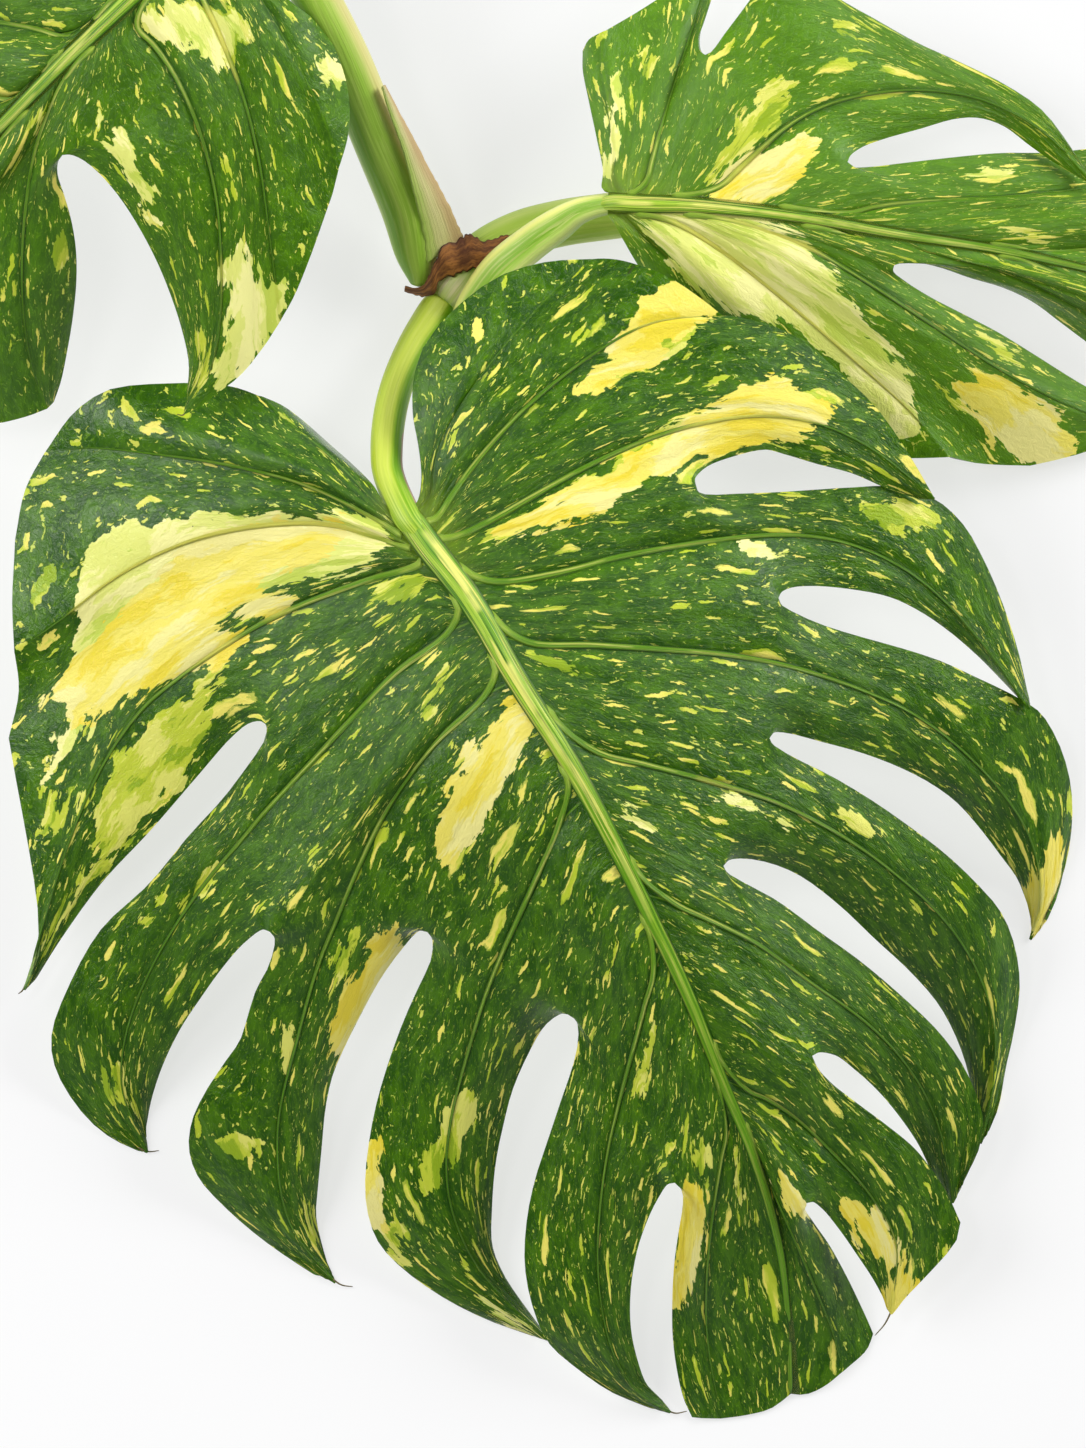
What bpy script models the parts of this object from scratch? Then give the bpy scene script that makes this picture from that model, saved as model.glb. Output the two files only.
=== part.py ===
"""A cut shoot of a variegated split-leaf vine: some stem, three stalks with dry sheaths, three leaves.

The shoot lies on a flat surface, z = 0. X runs to the right, Y away from the tip of the large leaf, Z up.
Each leaf is a thin closed sheet on a grid: rows run from midrib to margin, columns follow the side veins.
"""
import bpy
import numpy as np

for thing in list(bpy.data.objects):
    bpy.data.objects.remove(thing)

MM = 0.001
# Driving sizes, in mm. The tables below are in plan units, x to the right and y down the large leaf.
PLAN_UNIT = 0.31
# The plan point that lies over the frame's origin, where the stem rests.
PLAN_ORIGIN = (560.0, 221.0)
BLADE_THICKNESS = 0.9
# Rise of the blade between two side veins, in mm, and arch of a free lobe as a share of its half width.
CREST = 1.6
LOBE_ARCH = 0.05
SEAT_GAP = 0.3


def edge(line, lift=-3.0):
    """The free margin from the leaf base."""
    return {"kind": "edge", "at": 0.0, "line": line, "lift": lift}


def vein(at, line, before=(), after=()):
    """A side vein that leaves the midrib at a station, with the margin points before and after its end."""
    return {"kind": "vein", "at": at, "line": line, "before": before, "after": after}


def join(at, line):
    """A border between two veins with no slit."""
    return {"kind": "join", "at": at, "line": line}


def slit(at, inner, near, far, near_lift=-3.0, far_lift=-3.0):
    """A border with a slit: near is the side towards the leaf base, far is the side towards the tip."""
    return {"kind": "slit", "at": at, "line": inner, "near": near, "far": far,
            "near_lift": near_lift, "far_lift": far_lift}


# Each midrib point is x, y, height in mm and half width in mm.
MAIN_MIDRIB = [
    (405, 514, 66, 3.0), (412, 523, 66.6, 4.2), (430, 548, 68, 4.3), (470, 600, 71, 3.9),
    (517, 680, 73, 3.4), (568, 760, 72, 3.1),
    (612, 840, 68, 2.7), (652, 920, 62, 2.4), (690, 1000, 54, 2.1), (722, 1080, 45, 1.8),
    (755, 1160, 35, 1.5),
    (778, 1240, 24, 1.2), (788, 1310, 13, 0.9), (792, 1397, 1.2, 0.7)]
MAIN_END = 775.0
MAIN_LEFT = [
    edge([(385, 504), (372, 486), (352, 466), (333, 449)]),
    vein(7, [(378, 506, 65), (352, 478, 63), (325, 452, 59), (294, 428, 54), (262, 398, 46)],
         [(300, 420), (282, 407)], [(235, 388), (195, 384)]),
    join(14, [(368, 508), (310, 470), (250, 442), (190, 417), (150, 385)]),
    vein(21, [(374, 518, 65), (308, 486, 60), (230, 466, 52), (150, 454, 43), (90, 448, 35),
              (45, 452, 28)],
         [(110, 390), (75, 412)], [(25, 490)]),
    join(29, [(366, 528), (290, 504), (220, 496), (150, 497), (80, 512), (15, 540)]),
    vein(36, [(378, 538, 65), (332, 525, 62), (257, 527, 56), (187, 543, 49), (120, 575, 41),
              (60, 620, 33), (14, 652, 27)],
         [(14, 560), (12, 600)], [(18, 690)]),
    join(44, [(388, 553), (330, 556), (250, 575), (170, 609), (95, 659), (45, 705), (8, 738)]),
    vein(54, [(398, 572, 66), (348, 588, 63), (268, 621, 55), (205, 660, 48), (140, 712, 40),
              (95, 780, 32), (62, 860, 24), (40, 930, 17), (22, 991, 12)],
         [(17, 790), (28, 850), (37, 915), (35, 962)]),
    slit(95, [(430, 588), (380, 632), (320, 677), (267, 724)],
         [(262, 721), (250, 723), (232, 737), (200, 773), (150, 830), (100, 883), (60, 938), (34, 978)],
         [(269, 728), (266, 741), (250, 764), (225, 797), (190, 835), (150, 883), (100, 930), (66, 990),
          (50, 1035), (53, 1068), (75, 1108), (105, 1138), (136, 1153)], -3, -4),
    vein(128, [(448, 633, 70), (420, 655, 68), (381, 687, 65), (330, 745, 58), (287, 788, 52),
               (242, 840, 44), (200, 890, 36), (155, 960, 26), (126, 1030, 16), (120, 1090, 8),
               (145, 1155, 0.4)]),
    slit(165, [(470, 668), (420, 735), (355, 820), (305, 885), (271, 931)],
         [(264, 929), (245, 942), (225, 964), (200, 998), (178, 1031), (160, 1068), (148, 1104),
          (142, 1132)],
         [(275, 936), (275, 946), (268, 968), (257, 988), (249, 1012), (240, 1040), (222, 1066),
          (204, 1094), (191, 1122), (188, 1150), (197, 1178), (225, 1210), (270, 1248), (312, 1276)], -2, -4),
    vein(199, [(483, 697, 72), (433, 746, 68), (381, 819, 59), (346, 898, 49), (318, 966, 40),
               (297, 1040, 31), (278, 1120, 21), (280, 1195, 12), (296, 1240, 6), (334, 1286, 0.4)]),
    slit(262, [(530, 745), (500, 800), (460, 872), (428, 931)],
         [(420, 929), (400, 950), (378, 981), (358, 1018), (343, 1048), (331, 1077), (324, 1110),
          (320, 1150), (316, 1190), (314, 1218), (319, 1245), (328, 1272)],
         [(433, 937), (432, 958), (419, 987), (404, 1021), (389, 1062), (377, 1102), (369, 1142),
          (365, 1182), (367, 1212), (377, 1242), (398, 1267), (440, 1298), (490, 1323), (532, 1338)], -2, -4),
    vein(338, [(560, 822, 68), (548, 850, 66), (530, 892, 60), (510, 935, 54), (490, 983, 47),
               (473, 1035, 39), (458, 1090, 31), (447, 1145, 24), (450, 1205, 17), (474, 1264, 10),
               (512, 1310, 6), (548, 1343, 2.6)]),
    slit(430, [(612, 890), (598, 930), (582, 975), (568, 1013)],
         [(562, 1012), (545, 1024), (527, 1055), (512, 1090), (503, 1125), (495, 1165), (491, 1210),
          (491, 1248), (502, 1277), (520, 1305), (537, 1328)],
         [(577, 1019), (579, 1035), (574, 1062), (562, 1098), (548, 1140), (535, 1180), (527, 1220),
          (525, 1265), (533, 1308), (548, 1343), (575, 1369), (610, 1394), (645, 1409)], -3, -1),
    vein(509, [(652, 975, 58), (638, 1030, 51), (622, 1090, 43), (608, 1150, 37), (600, 1210, 31),
               (598, 1270, 25), (606, 1330, 18), (624, 1378, 10), (648, 1403, 5), (671, 1416, 2)]),
    slit(590, [(693, 1045), (688, 1090), (682, 1135), (675, 1182)],
         [(668, 1184), (657, 1200), (646, 1224), (637, 1252), (631, 1290), (631, 1328), (637, 1360),
          (647, 1388), (662, 1405)],
         [(682, 1188), (683, 1204), (679, 1232), (675, 1264), (673, 1300), (673, 1335), (677, 1370),
          (684, 1400), (693, 1421)], -2, -1),
    vein(678, [(727, 1120, 40), (720, 1165, 36), (712, 1220, 29), (707, 1280, 21), (708, 1340, 11),
               (722, 1422, 0.4)],
         [(706, 1422)], [(745, 1419), (772, 1412)])]
MAIN_RIGHT = [
    edge([(419, 503), (423, 480), (420, 450), (414, 415), (415, 380), (424, 350)]),
    vein(8, [(430, 500, 65), (437, 455, 65), (452, 420, 64), (475, 385, 63), (515, 335, 61),
             (555, 292, 59), (590, 261, 57)],
         [(440, 326), (468, 300), (500, 278), (545, 264)], [(615, 261)]),
    join(17, [(440, 495), (465, 455), (500, 415), (550, 360), (600, 310), (648, 270)]),
    vein(26, [(445, 508, 66), (470, 472, 66), (520, 415, 65), (580, 365, 62), (650, 325, 58),
              (722, 317, 54)],
         [(672, 281), (700, 300)], [(756, 322), (800, 341)]),
    join(36, [(452, 518), (500, 480), (560, 440), (640, 404), (720, 382), (790, 373), (848, 382)]),
    vein(48, [(460, 536, 67), (500, 517, 68), (560, 482, 67), (620, 452, 64), (680, 430, 61),
              (760, 417, 57), (825, 427, 54), (878, 454, 51), (934, 499, 47)],
         [(873, 406), (897, 438), (917, 470)]),
    slit(72, [(475, 555), (530, 530), (600, 505), (695, 487)],
         [(694, 480), (705, 468), (732, 457), (765, 450), (782, 454), (815, 464), (852, 474), (885, 488),
          (918, 498)],
         [(696, 493), (703, 496), (735, 495), (790, 492), (850, 488), (895, 487), (935, 500), (962, 524),
          (982, 558), (1002, 604), (1018, 652), (1028, 695)], -3, -4),
    vein(98, [(500, 582, 70), (540, 578, 70), (600, 562, 68), (660, 550, 63), (720, 540, 58),
              (800, 536, 51), (860, 548, 46), (920, 580, 41), (980, 640, 35), (1030, 709, 29)]),
    slit(130, [(510, 612), (580, 606), (680, 600), (777, 599)],
         [(780, 593), (790, 588), (812, 586), (850, 589), (890, 597), (920, 611), (950, 631), (980, 656),
          (1002, 678), (1020, 697)],
         [(779, 605), (790, 612), (820, 625), (860, 637), (900, 648), (940, 661), (975, 677),
          (1015, 696), (1040, 712), (1058, 740), (1070, 775), (1074, 812), (1069, 862), (1061, 892),
          (1050, 918)], -3, -5),
    vein(160, [(530, 643, 72), (600, 646, 71), (700, 653, 65), (760, 660, 59), (850, 686, 48),
               (920, 718, 38), (985, 772, 26), (1028, 830, 14), (1042, 875, 8), (1043, 908, 4),
               (1033, 941, 0.4)],
         [(1043, 931)], [(1035, 931)]),
    slit(225, [(560, 705), (630, 715), (700, 726), (768, 738)],
         [(772, 732), (785, 732), (820, 741), (860, 752), (900, 767), (930, 782), (957, 801), (980, 826),
          (1003, 856), (1021, 880), (1029, 900), (1033, 918)],
         [(770, 743), (788, 755), (830, 776), (870, 800), (905, 824), (945, 854), (978, 885),
          (1001, 912), (1015, 945), (1021, 985), (1016, 1030), (1007, 1070), (1001, 1108),
          (993, 1130)], -3, -4),
    vein(283, [(585, 749, 71), (660, 768, 68), (720, 784, 64), (780, 804, 58), (840, 835, 50),
               (885, 866, 43), (940, 915, 32), (980, 975, 20), (998, 1050, 9), (983, 1146, 0.4)]),
    slit(370, [(630, 828), (670, 845), (722, 865)],
         [(727, 859), (742, 857), (770, 862), (800, 875), (840, 905), (875, 938), (910, 970),
          (940, 1004), (958, 1036), (970, 1068), (977, 1100), (979, 1122)],
         [(724, 871), (740, 881), (775, 900), (815, 929), (860, 961), (900, 995), (940, 1034),
          (962, 1064), (977, 1095), (984, 1120), (981, 1148), (968, 1178)], -3, 2),
    vein(452, [(665, 899, 64), (700, 915, 62), (760, 945, 57), (800, 975, 51), (850, 1010, 43),
               (885, 1040, 36), (920, 1085, 27), (942, 1135, 18), (955, 1205, 9)]),
    slit(555, [(712, 1000), (750, 1018), (811, 1055)],
         [(818, 1052), (835, 1055), (858, 1072), (880, 1093), (900, 1117), (918, 1143), (932, 1170),
          (946, 1194)],
         [(814, 1063), (830, 1082), (855, 1102), (885, 1124), (912, 1146), (932, 1170), (948, 1195),
          (961, 1223)], -3, 8),
    vein(655, [(735, 1084, 44), (770, 1100, 43), (800, 1121, 40), (830, 1150, 36), (868, 1192, 31),
               (896, 1242, 25), (893, 1316, 16)],
         [(958, 1240), (930, 1274), (908, 1297)]),
    slit(700, [(757, 1130), (780, 1165), (806, 1203)],
         [(813, 1202), (823, 1209), (840, 1230), (858, 1256), (874, 1280), (885, 1300), (889, 1310)],
         [(804, 1209), (812, 1222), (828, 1245), (845, 1275), (860, 1305), (875, 1337)], -2, -2),
    vein(740, [(770, 1182, 31), (790, 1228, 26), (812, 1280, 18), (832, 1330, 9), (845, 1374, 2)],
         [(868, 1353)], [(825, 1390), (806, 1398)])]

RIGHT_MIDRIB = [
    (608, 204, 44, 3.4), (640, 205, 45, 3.2), (700, 207, 45, 2.9), (800, 218, 43, 2.5), (900, 235, 39, 2.1),
    (1000, 250, 33, 1.8), (1086, 268, 27, 1.4), (1180, 290, 19, 1.1),
    (1270, 310, 10, 0.8), (1350, 330, 1.2, 0.6)]
RIGHT_END = 640.0
RIGHT_UPPER = [
    edge([(603, 190), (604, 172), (598, 140), (590, 102), (584, 70), (584, 50)]),
    vein(8, [(612, 180, 43), (614, 150, 42), (608, 100, 37), (602, 60, 32), (604, 31, 28)],
         [(590, 39)], [(630, 16)]),
    join(18, [(628, 180), (635, 140), (645, 90), (655, 40), (662, -4)]),
    vein(30, [(645, 185, 44), (658, 140, 42), (675, 85, 36), (693, 25, 28), (716, -48, 18)],
         [(680, -18), (700, -38)]),
    slit(58, [(672, 180), (685, 140), (697, 100), (705, 56)],
         [(701, 52), (699, 40), (705, 18), (713, -10), (717, -35)],
         [(711, 53), (722, 38), (737, 18), (755, -6), (772, -24), (800, -28), (840, 0), (872, 18),
          (915, 42), (960, 62), (1005, 84), (1040, 108), (1066, 140), (1084, 168)], -3, -3),
    vein(95, [(722, 185, 44), (760, 150, 43), (800, 118, 40), (850, 98, 36), (920, 90, 32),
              (985, 100, 30), (1045, 132, 28), (1098, 186, 27)]),
    slit(150, [(772, 195), (805, 180), (847, 163)],
         [(850, 156), (862, 147), (885, 138), (920, 128), (955, 118), (980, 117), (1005, 125),
          (1030, 143), (1055, 160), (1085, 178)],
         [(850, 168), (868, 168), (900, 164), (950, 158), (1000, 153), (1050, 152), (1100, 146),
          (1150, 138), (1195, 142), (1235, 162)], -3, -4),
    vein(215, [(850, 213, 40), (880, 206, 39), (940, 200, 35), (1010, 196, 29), (1080, 188, 22),
               (1140, 180, 16), (1200, 179, 9), (1252, 187, 4)]),
    slit(325, [(960, 232), (1020, 226), (1070, 220), (1112, 216)],
         [(1118, 210), (1140, 206), (1180, 204), (1218, 202), (1243, 197)],
         [(1119, 221), (1140, 221), (1185, 215), (1230, 214), (1270, 223), (1296, 243)], -2, -2),
    vein(430, [(1065, 250, 27), (1120, 244, 22), (1180, 240, 15), (1240, 245, 8), (1308, 263, 0.4)]),
    slit(530, [(1165, 270), (1195, 266), (1218, 265)],
         [(1224, 260), (1245, 258), (1270, 261), (1293, 265)],
         [(1224, 270), (1245, 272), (1275, 279), (1305, 293), (1332, 313)], -1, -1),
    vein(590, [(1225, 286, 14), (1262, 293, 10), (1300, 305, 6), (1343, 325, 2)])]
RIGHT_LOWER = [
    edge([(614, 224), (622, 238), (633, 256), (646, 276), (663, 302), (685, 332)]),
    vein(14, [(636, 228, 44), (668, 256, 41), (705, 300, 36), (745, 350, 30), (775, 412, 22)],
         [(712, 362), (742, 390)], [(800, 430)]),
    join(26, [(652, 226), (690, 258), (740, 312), (795, 370), (835, 446)]),
    vein(40, [(672, 222, 45), (720, 250, 42), (790, 305, 36), (860, 365, 29), (915, 415, 22),
              (950, 456, 17)],
         [(880, 456), (915, 457)], [(978, 462)]),
    join(70, [(705, 222), (770, 252), (850, 308), (930, 368), (990, 420), (1032, 464)]),
    vein(110, [(745, 225, 44), (800, 244, 42), (860, 278, 39), (930, 323, 33), (1000, 368, 25),
               (1070, 404, 17), (1130, 424, 9), (1188, 434, 0.4)],
         [(1075, 454), (1120, 440), (1155, 434)]),
    slit(180, [(800, 232), (840, 245), (894, 265)],
         [(893, 271), (903, 280), (930, 297), (965, 315), (1000, 333), (1040, 357), (1086, 385),
          (1130, 408), (1170, 426)],
         [(901, 262), (915, 261), (940, 266), (970, 276), (1005, 286), (1035, 300), (1060, 318),
          (1090, 340), (1128, 366), (1165, 390)], -3, -3),
    vein(240, [(860, 237, 40), (920, 248, 38), (980, 263, 34), (1040, 286, 28), (1090, 313, 21),
               (1140, 348, 13), (1190, 392, 4)],
         [], [(1192, 372)]),
    slit(345, [(960, 257), (1010, 270), (1070, 287), (1120, 306)],
         [(1118, 312), (1132, 323), (1153, 339), (1174, 356), (1188, 372)],
         [(1128, 306), (1150, 313), (1185, 331), (1213, 352), (1238, 376)], -2, -2),
    vein(440, [(1060, 274, 29), (1110, 287, 24), (1160, 305, 18), (1205, 330, 11), (1238, 358, 6),
               (1264, 396, 0.4)],
         [], [(1268, 385)]),
    slit(530, [(1150, 296), (1180, 306), (1208, 318)],
         [(1208, 324), (1222, 336), (1242, 354), (1262, 374)],
         [(1216, 318), (1240, 326), (1272, 338), (1305, 346), (1330, 345)], -1, -1),
    vein(590, [(1225, 306, 13), (1262, 317, 9), (1300, 328, 5), (1340, 336, 2)])]

LEFT_MIDRIB = [
    (222, -78, 90, 3.8), (180, -40, 91, 3.7), (138, 1, 90, 3.5), (100, 37, 88, 3.2), (60, 75, 85, 2.9),
    (0, 135, 77, 2.5), (-90, 218, 59, 2.0), (-180, 292, 35, 1.4), (-230, 332, 18, 1.0), (-268, 362, 1.2, 0.6)]
LEFT_END = 560.0
LEFT_OUTER = [
    edge([(216, -98), (212, -120), (200, -142)]),
    vein(8, [(200, -100, 89), (182, -128, 85), (160, -162, 78), (138, -196, 68)],
         [(184, -168), (163, -185)], [(112, -203)]),
    join(17, [(186, -102), (155, -132), (115, -165), (80, -203)]),
    vein(28, [(168, -94, 90), (120, -117, 85), (55, -143, 74), (0, -166, 62), (-45, -188, 50)],
         [(35, -202), (-5, -198)], [(-70, -175)]),
    join(48, [(148, -72), (95, -88), (20, -108), (-45, -132), (-92, -160)]),
    vein(75, [(130, -46, 90), (80, -58, 86), (20, -74, 77), (-50, -97, 63), (-115, -120, 45),
              (-172, -145, 27)],
         [(-125, -152), (-150, -150)]),
    slit(115, [(100, -16), (55, -21), (0, -27), (-42, -31)],
         [(-47, -37), (-62, -44), (-100, -62), (-140, -92), (-162, -124)],
         [(-49, -27), (-68, -30), (-110, -36), (-155, -50), (-195, -60), (-222, -55)], -3, -3),
    vein(160, [(80, 42, 86), (40, 34, 81), (0, 26, 73), (-70, 8, 57), (-135, -12, 38), (-185, -30, 22),
               (-228, -42, 9)],
         [], [(-228, -25)]),
    slit(205, [(60, 62), (10, 58), (-40, 54), (-82, 54)],
         [(-90, 48), (-105, 43), (-145, 30), (-185, 10), (-218, -10)],
         [(-90, 59), (-106, 60), (-150, 53), (-195, 42), (-238, 36), (-258, 44)], -3, -3),
    vein(245, [(25, 102, 79), (-10, 100, 73), (-70, 98, 59), (-135, 90, 41), (-200, 78, 21),
               (-268, 62, 3)],
         [], [(-266, 80)]),
    slit(310, [(-40, 152), (-75, 150), (-110, 149), (-138, 150)],
         [(-145, 145), (-160, 140), (-195, 128), (-235, 108), (-258, 95)],
         [(-146, 154), (-162, 156), (-200, 156), (-245, 158), (-275, 172), (-290, 205), (-292, 250)], -3, -3),
    vein(420, [(-102, 203, 57), (-130, 209, 50), (-165, 222, 40), (-215, 245, 26), (-262, 282, 10)],
         [(-280, 275)], [(-275, 310), (-275, 340)])]
LEFT_INNER = [
    edge([(240, -62), (262, -30), (286, 2), (313, 24), (334, 50)]),
    vein(12, [(228, -50, 89), (248, -20, 87), (272, 20, 84), (300, 70, 80), (326, 125, 76),
              (340, 170, 72)],
         [(345, 80), (350, 112), (348, 142)], [(334, 195)]),
    join(30, [(212, -40), (232, -5), (255, 45), (278, 105), (300, 165), (322, 228)]),
    vein(60, [(192, -20, 90), (208, 10, 89), (228, 55, 87), (248, 110, 83), (262, 170, 79),
              (270, 230, 73), (282, 322, 62)],
         [(310, 262), (297, 294)], [(270, 340)]),
    join(95, [(160, 10), (185, 45), (212, 95), (232, 155), (243, 215), (248, 285), (252, 364)]),
    vein(125, [(140, 30, 88), (165, 60, 87), (188, 100, 86), (207, 150, 83), (219, 205, 79),
               (223, 260, 74), (222, 320, 67), (212, 372, 60), (186, 415, 54)],
         [(238, 379), (218, 394), (202, 406)]),
    slit(178, [(85, 90), (72, 125), (66, 159)],
         [(73, 158), (86, 163), (103, 177), (122, 199), (141, 228), (159, 262), (173, 296), (184, 330),
          (191, 365), (189, 398)],
         [(61, 164), (60, 177), (66, 196), (73, 222), (77, 250), (77, 280), (73, 315), (67, 348),
          (60, 380), (52, 401)], -3, -3),
    vein(225, [(54, 112, 81), (40, 152, 77), (29, 208, 69), (24, 270, 59), (26, 330, 47), (34, 375, 37),
               (46, 408, 30)],
         [], [(24, 416), (-12, 423)]),
    slit(270, [(22, 146), (-2, 186), (-28, 220), (-46, 240)],
         [(-41, 246), (-38, 260), (-42, 300), (-48, 350), (-52, 395), (-50, 417)],
         [(-53, 245), (-62, 262), (-78, 305), (-94, 352), (-108, 395), (-116, 425)], -3, -3),
    vein(315, [(-16, 178, 71), (-45, 222, 61), (-75, 272, 48), (-100, 325, 33), (-118, 378, 18),
               (-130, 432, 6)],
         [], [(-148, 430), (-170, 418)]),
    slit(400, [(-85, 238), (-114, 268), (-145, 296)],
         [(-142, 303), (-146, 322), (-157, 350), (-170, 378), (-182, 402)],
         [(-152, 299), (-166, 318), (-188, 345), (-212, 372), (-232, 392)], -2, -2),
    vein(465, [(-140, 280, 40), (-170, 313, 29), (-205, 350, 14), (-243, 384, 2)],
         [], [(-258, 374)])]

LEAVES = {
    "leaf_main": (MAIN_MIDRIB, MAIN_LEFT, MAIN_RIGHT, MAIN_END, 2.2),
    "leaf_right": (RIGHT_MIDRIB, RIGHT_LOWER, RIGHT_UPPER, RIGHT_END, 1.7),
    "leaf_left": (LEFT_MIDRIB, LEFT_OUTER, LEFT_INNER, LEFT_END, 1.9)}

# Each stem or stalk point is x, y, height in mm and radius in mm.
STEM_PATH = [
    (690, 214, 6.7, 7.2), (640, 211, 6.7, 7.3), (600, 215, 6.6, 7.3), (560, 221, 6.6, 7.3),
    (520, 232, 6.6, 7.4),
    (487, 250, 6.7, 7.6), (464, 272, 6.8, 7.5), (449, 291, 6.9, 6.9), (442, 302, 7.0, 6.0)]
MAIN_STALK = [
    (428, 322, 11.5, 5.7), (413, 347, 20, 5.3), (398, 382, 31, 5.1), (390, 415, 41, 5.1), (387, 450, 51, 5.0),
    (389, 475, 56, 4.8)]
LEFT_STALK = [
    (424, 262, 13, 8.6), (407, 208, 22, 8.2), (378, 140, 37, 7.9), (345, 60, 55, 7.8), (316, 0, 68.5, 7.3),
    (290, -50, 77, 6.6), (264, -84, 81.5, 5.2)]
RIGHT_STALK = [
    (464, 319, 15.1, 4.6), (476, 299, 17.5, 5.4), (498, 270, 21.5, 5.9), (530, 243, 25.5, 5.7),
    (558, 224, 31, 5.2), (580, 211, 36.5, 4.0)]

# Grid of the leaf sheets: rows inside the slits, rows beyond them, columns on each side of a vein.
INNER_ROWS = 3
OUTER_ROWS = 8
HALF_COLUMNS = 2
# Plan length that one radian of turning counts for where points are spaced along a margin.
TURN_SHARE = 45.0
# Where a vein's inner rows end, between the nearer and the farther slit mouth beside it.
MOUTH_SHARE = 0.35
# Plan length past the last vein's station where the tip's middle line starts.
END_AHEAD = 12.0
SHEATH_THICKNESS = 0.8

# Sheaths: their reach along the stem or stalk, and the angles of their two edges from the top.
NODE_SHEATH_REACH = (0.60, 0.99)
NODE_SHEATH_EDGES = [(24, 62), (16, 86), (8, 100), (2, 106), (-4, 110), (-8, 112), (10, 112)]
# The left stalk's seat on that sheath: its share of the stem, and its angle from the top.
LEFT_SEAT_SHARE = 0.86
LEFT_SEAT_ANGLE = 62.0
# Room between that sheath and the flat end of the stalk, besides the seat gap, in mm.
SEAT_ROOM = 0.15
TAN_SHEATH_REACH = (0.05, 0.33)
TAN_SHEATH_EDGES = [(15, 100), (25, 100), (35, 98), (45, 95), (58, 90), (72, 86)]
# The lowest middle surface of a blade, in mm.
LOWEST_MIDDLE = 0.35
# Least thickness of a blade that touches the surface, in mm.
LEAST_THICKNESS = 0.7
# Plan area in square mm under which a triangle counts as folded.
THINNEST_TRIANGLE = 0.15
# How far each stalk's last points lie behind and ahead of its leaf's base, in mm.
STALK_END_REACH = (6.0, 3.0)
# Gap between the stem and the brown sheath, in mm.
NODE_SHEATH_CLEAR = 0.85
# How far the tan sheath opens away from its stalk at its upper outer corner, in mm.
TAN_SHEATH_FLARE = 9.0
# Depth of the groove along a stalk's upper face, as a share of its radius.
CHANNEL = 0.10
LEFT_CHANNEL = 0.06


def to_mm(points):
    """Plan units and mm heights to mm in the frame."""
    p = np.asarray(points, float)
    x = (p[:, 0] - PLAN_ORIGIN[0]) * PLAN_UNIT
    y = (PLAN_ORIGIN[1] - p[:, 1]) * PLAN_UNIT
    return np.column_stack([x, y, p[:, 2]])


def between(a, b, ta, tb, t):
    """Straight blend from a at ta to b at tb."""
    return ((tb - t) * a + (t - ta) * b) / (tb - ta)


def smooth_line(points, steps=14):
    """Many points along a smooth line through the given ones."""
    p = np.asarray(points, float)
    if len(p) < 3:
        share = np.linspace(0.0, 1.0, steps + 1)[:, None]
        return p[0] * (1.0 - share) + p[-1] * share
    p = np.vstack([2 * p[0] - p[1], p, 2 * p[-1] - p[-2]])
    knot = np.concatenate([[0.0], np.cumsum(np.sqrt(np.linalg.norm(np.diff(p[:, :2], axis=0), axis=1)))])
    made = []
    for i in range(1, len(p) - 2):
        t0, t1, t2, t3 = knot[i - 1:i + 3]
        t = np.linspace(t1, t2, steps, endpoint=False)[:, None]
        a1 = between(p[i - 1], p[i], t0, t1, t)
        a2 = between(p[i], p[i + 1], t1, t2, t)
        a3 = between(p[i + 1], p[i + 2], t2, t3, t)
        b1 = between(a1, a2, t0, t2, t)
        b2 = between(a2, a3, t1, t3, t)
        made.append(between(b1, b2, t1, t2, t))
    made.append(p[-2][None, :])
    return np.vstack(made)


def spaced(line, count, turn_share=0.0):
    """count + 1 points along a line, closer together where it turns."""
    step = np.diff(line[:, :2], axis=0)
    length = np.hypot(step[:, 0], step[:, 1])
    heading = np.unwrap(np.arctan2(step[:, 1], step[:, 0]))
    turn = np.abs(np.diff(heading, prepend=heading[0]))
    weight = np.concatenate([[0.0], np.cumsum(length + turn_share * turn)])
    wanted = np.linspace(0.0, weight[-1], count + 1)
    return np.column_stack([np.interp(wanted, weight, line[:, k]) for k in range(line.shape[1])])


def ease(share):
    """Smooth step from 0 to 1."""
    share = np.clip(share, 0.0, 1.0)
    return share * share * (3.0 - 2.0 * share)


class Midrib:
    """The middle line of a leaf, read by its station: the plan length from the leaf base."""

    def __init__(self, points):
        self.line = smooth_line(points, 24)
        step = np.linalg.norm(np.diff(self.line[:, :2], axis=0), axis=1)
        self.station = np.concatenate([[0.0], np.cumsum(step)])

    def at(self, station):
        return np.array([np.interp(station, self.station, self.line[:, k]) for k in range(4)])

    def edge(self, station, side):
        """The point on the midrib's edge: side is 1 or -1."""
        here = self.at(station)
        ahead = self.at(station + 4.0)[:2] - self.at(max(station - 4.0, 0.0))[:2]
        ahead = ahead / np.linalg.norm(ahead)
        out = side * here[3] / PLAN_UNIT
        return np.array([here[0] - ahead[1] * out, here[1] + ahead[0] * out, here[2]])


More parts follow.
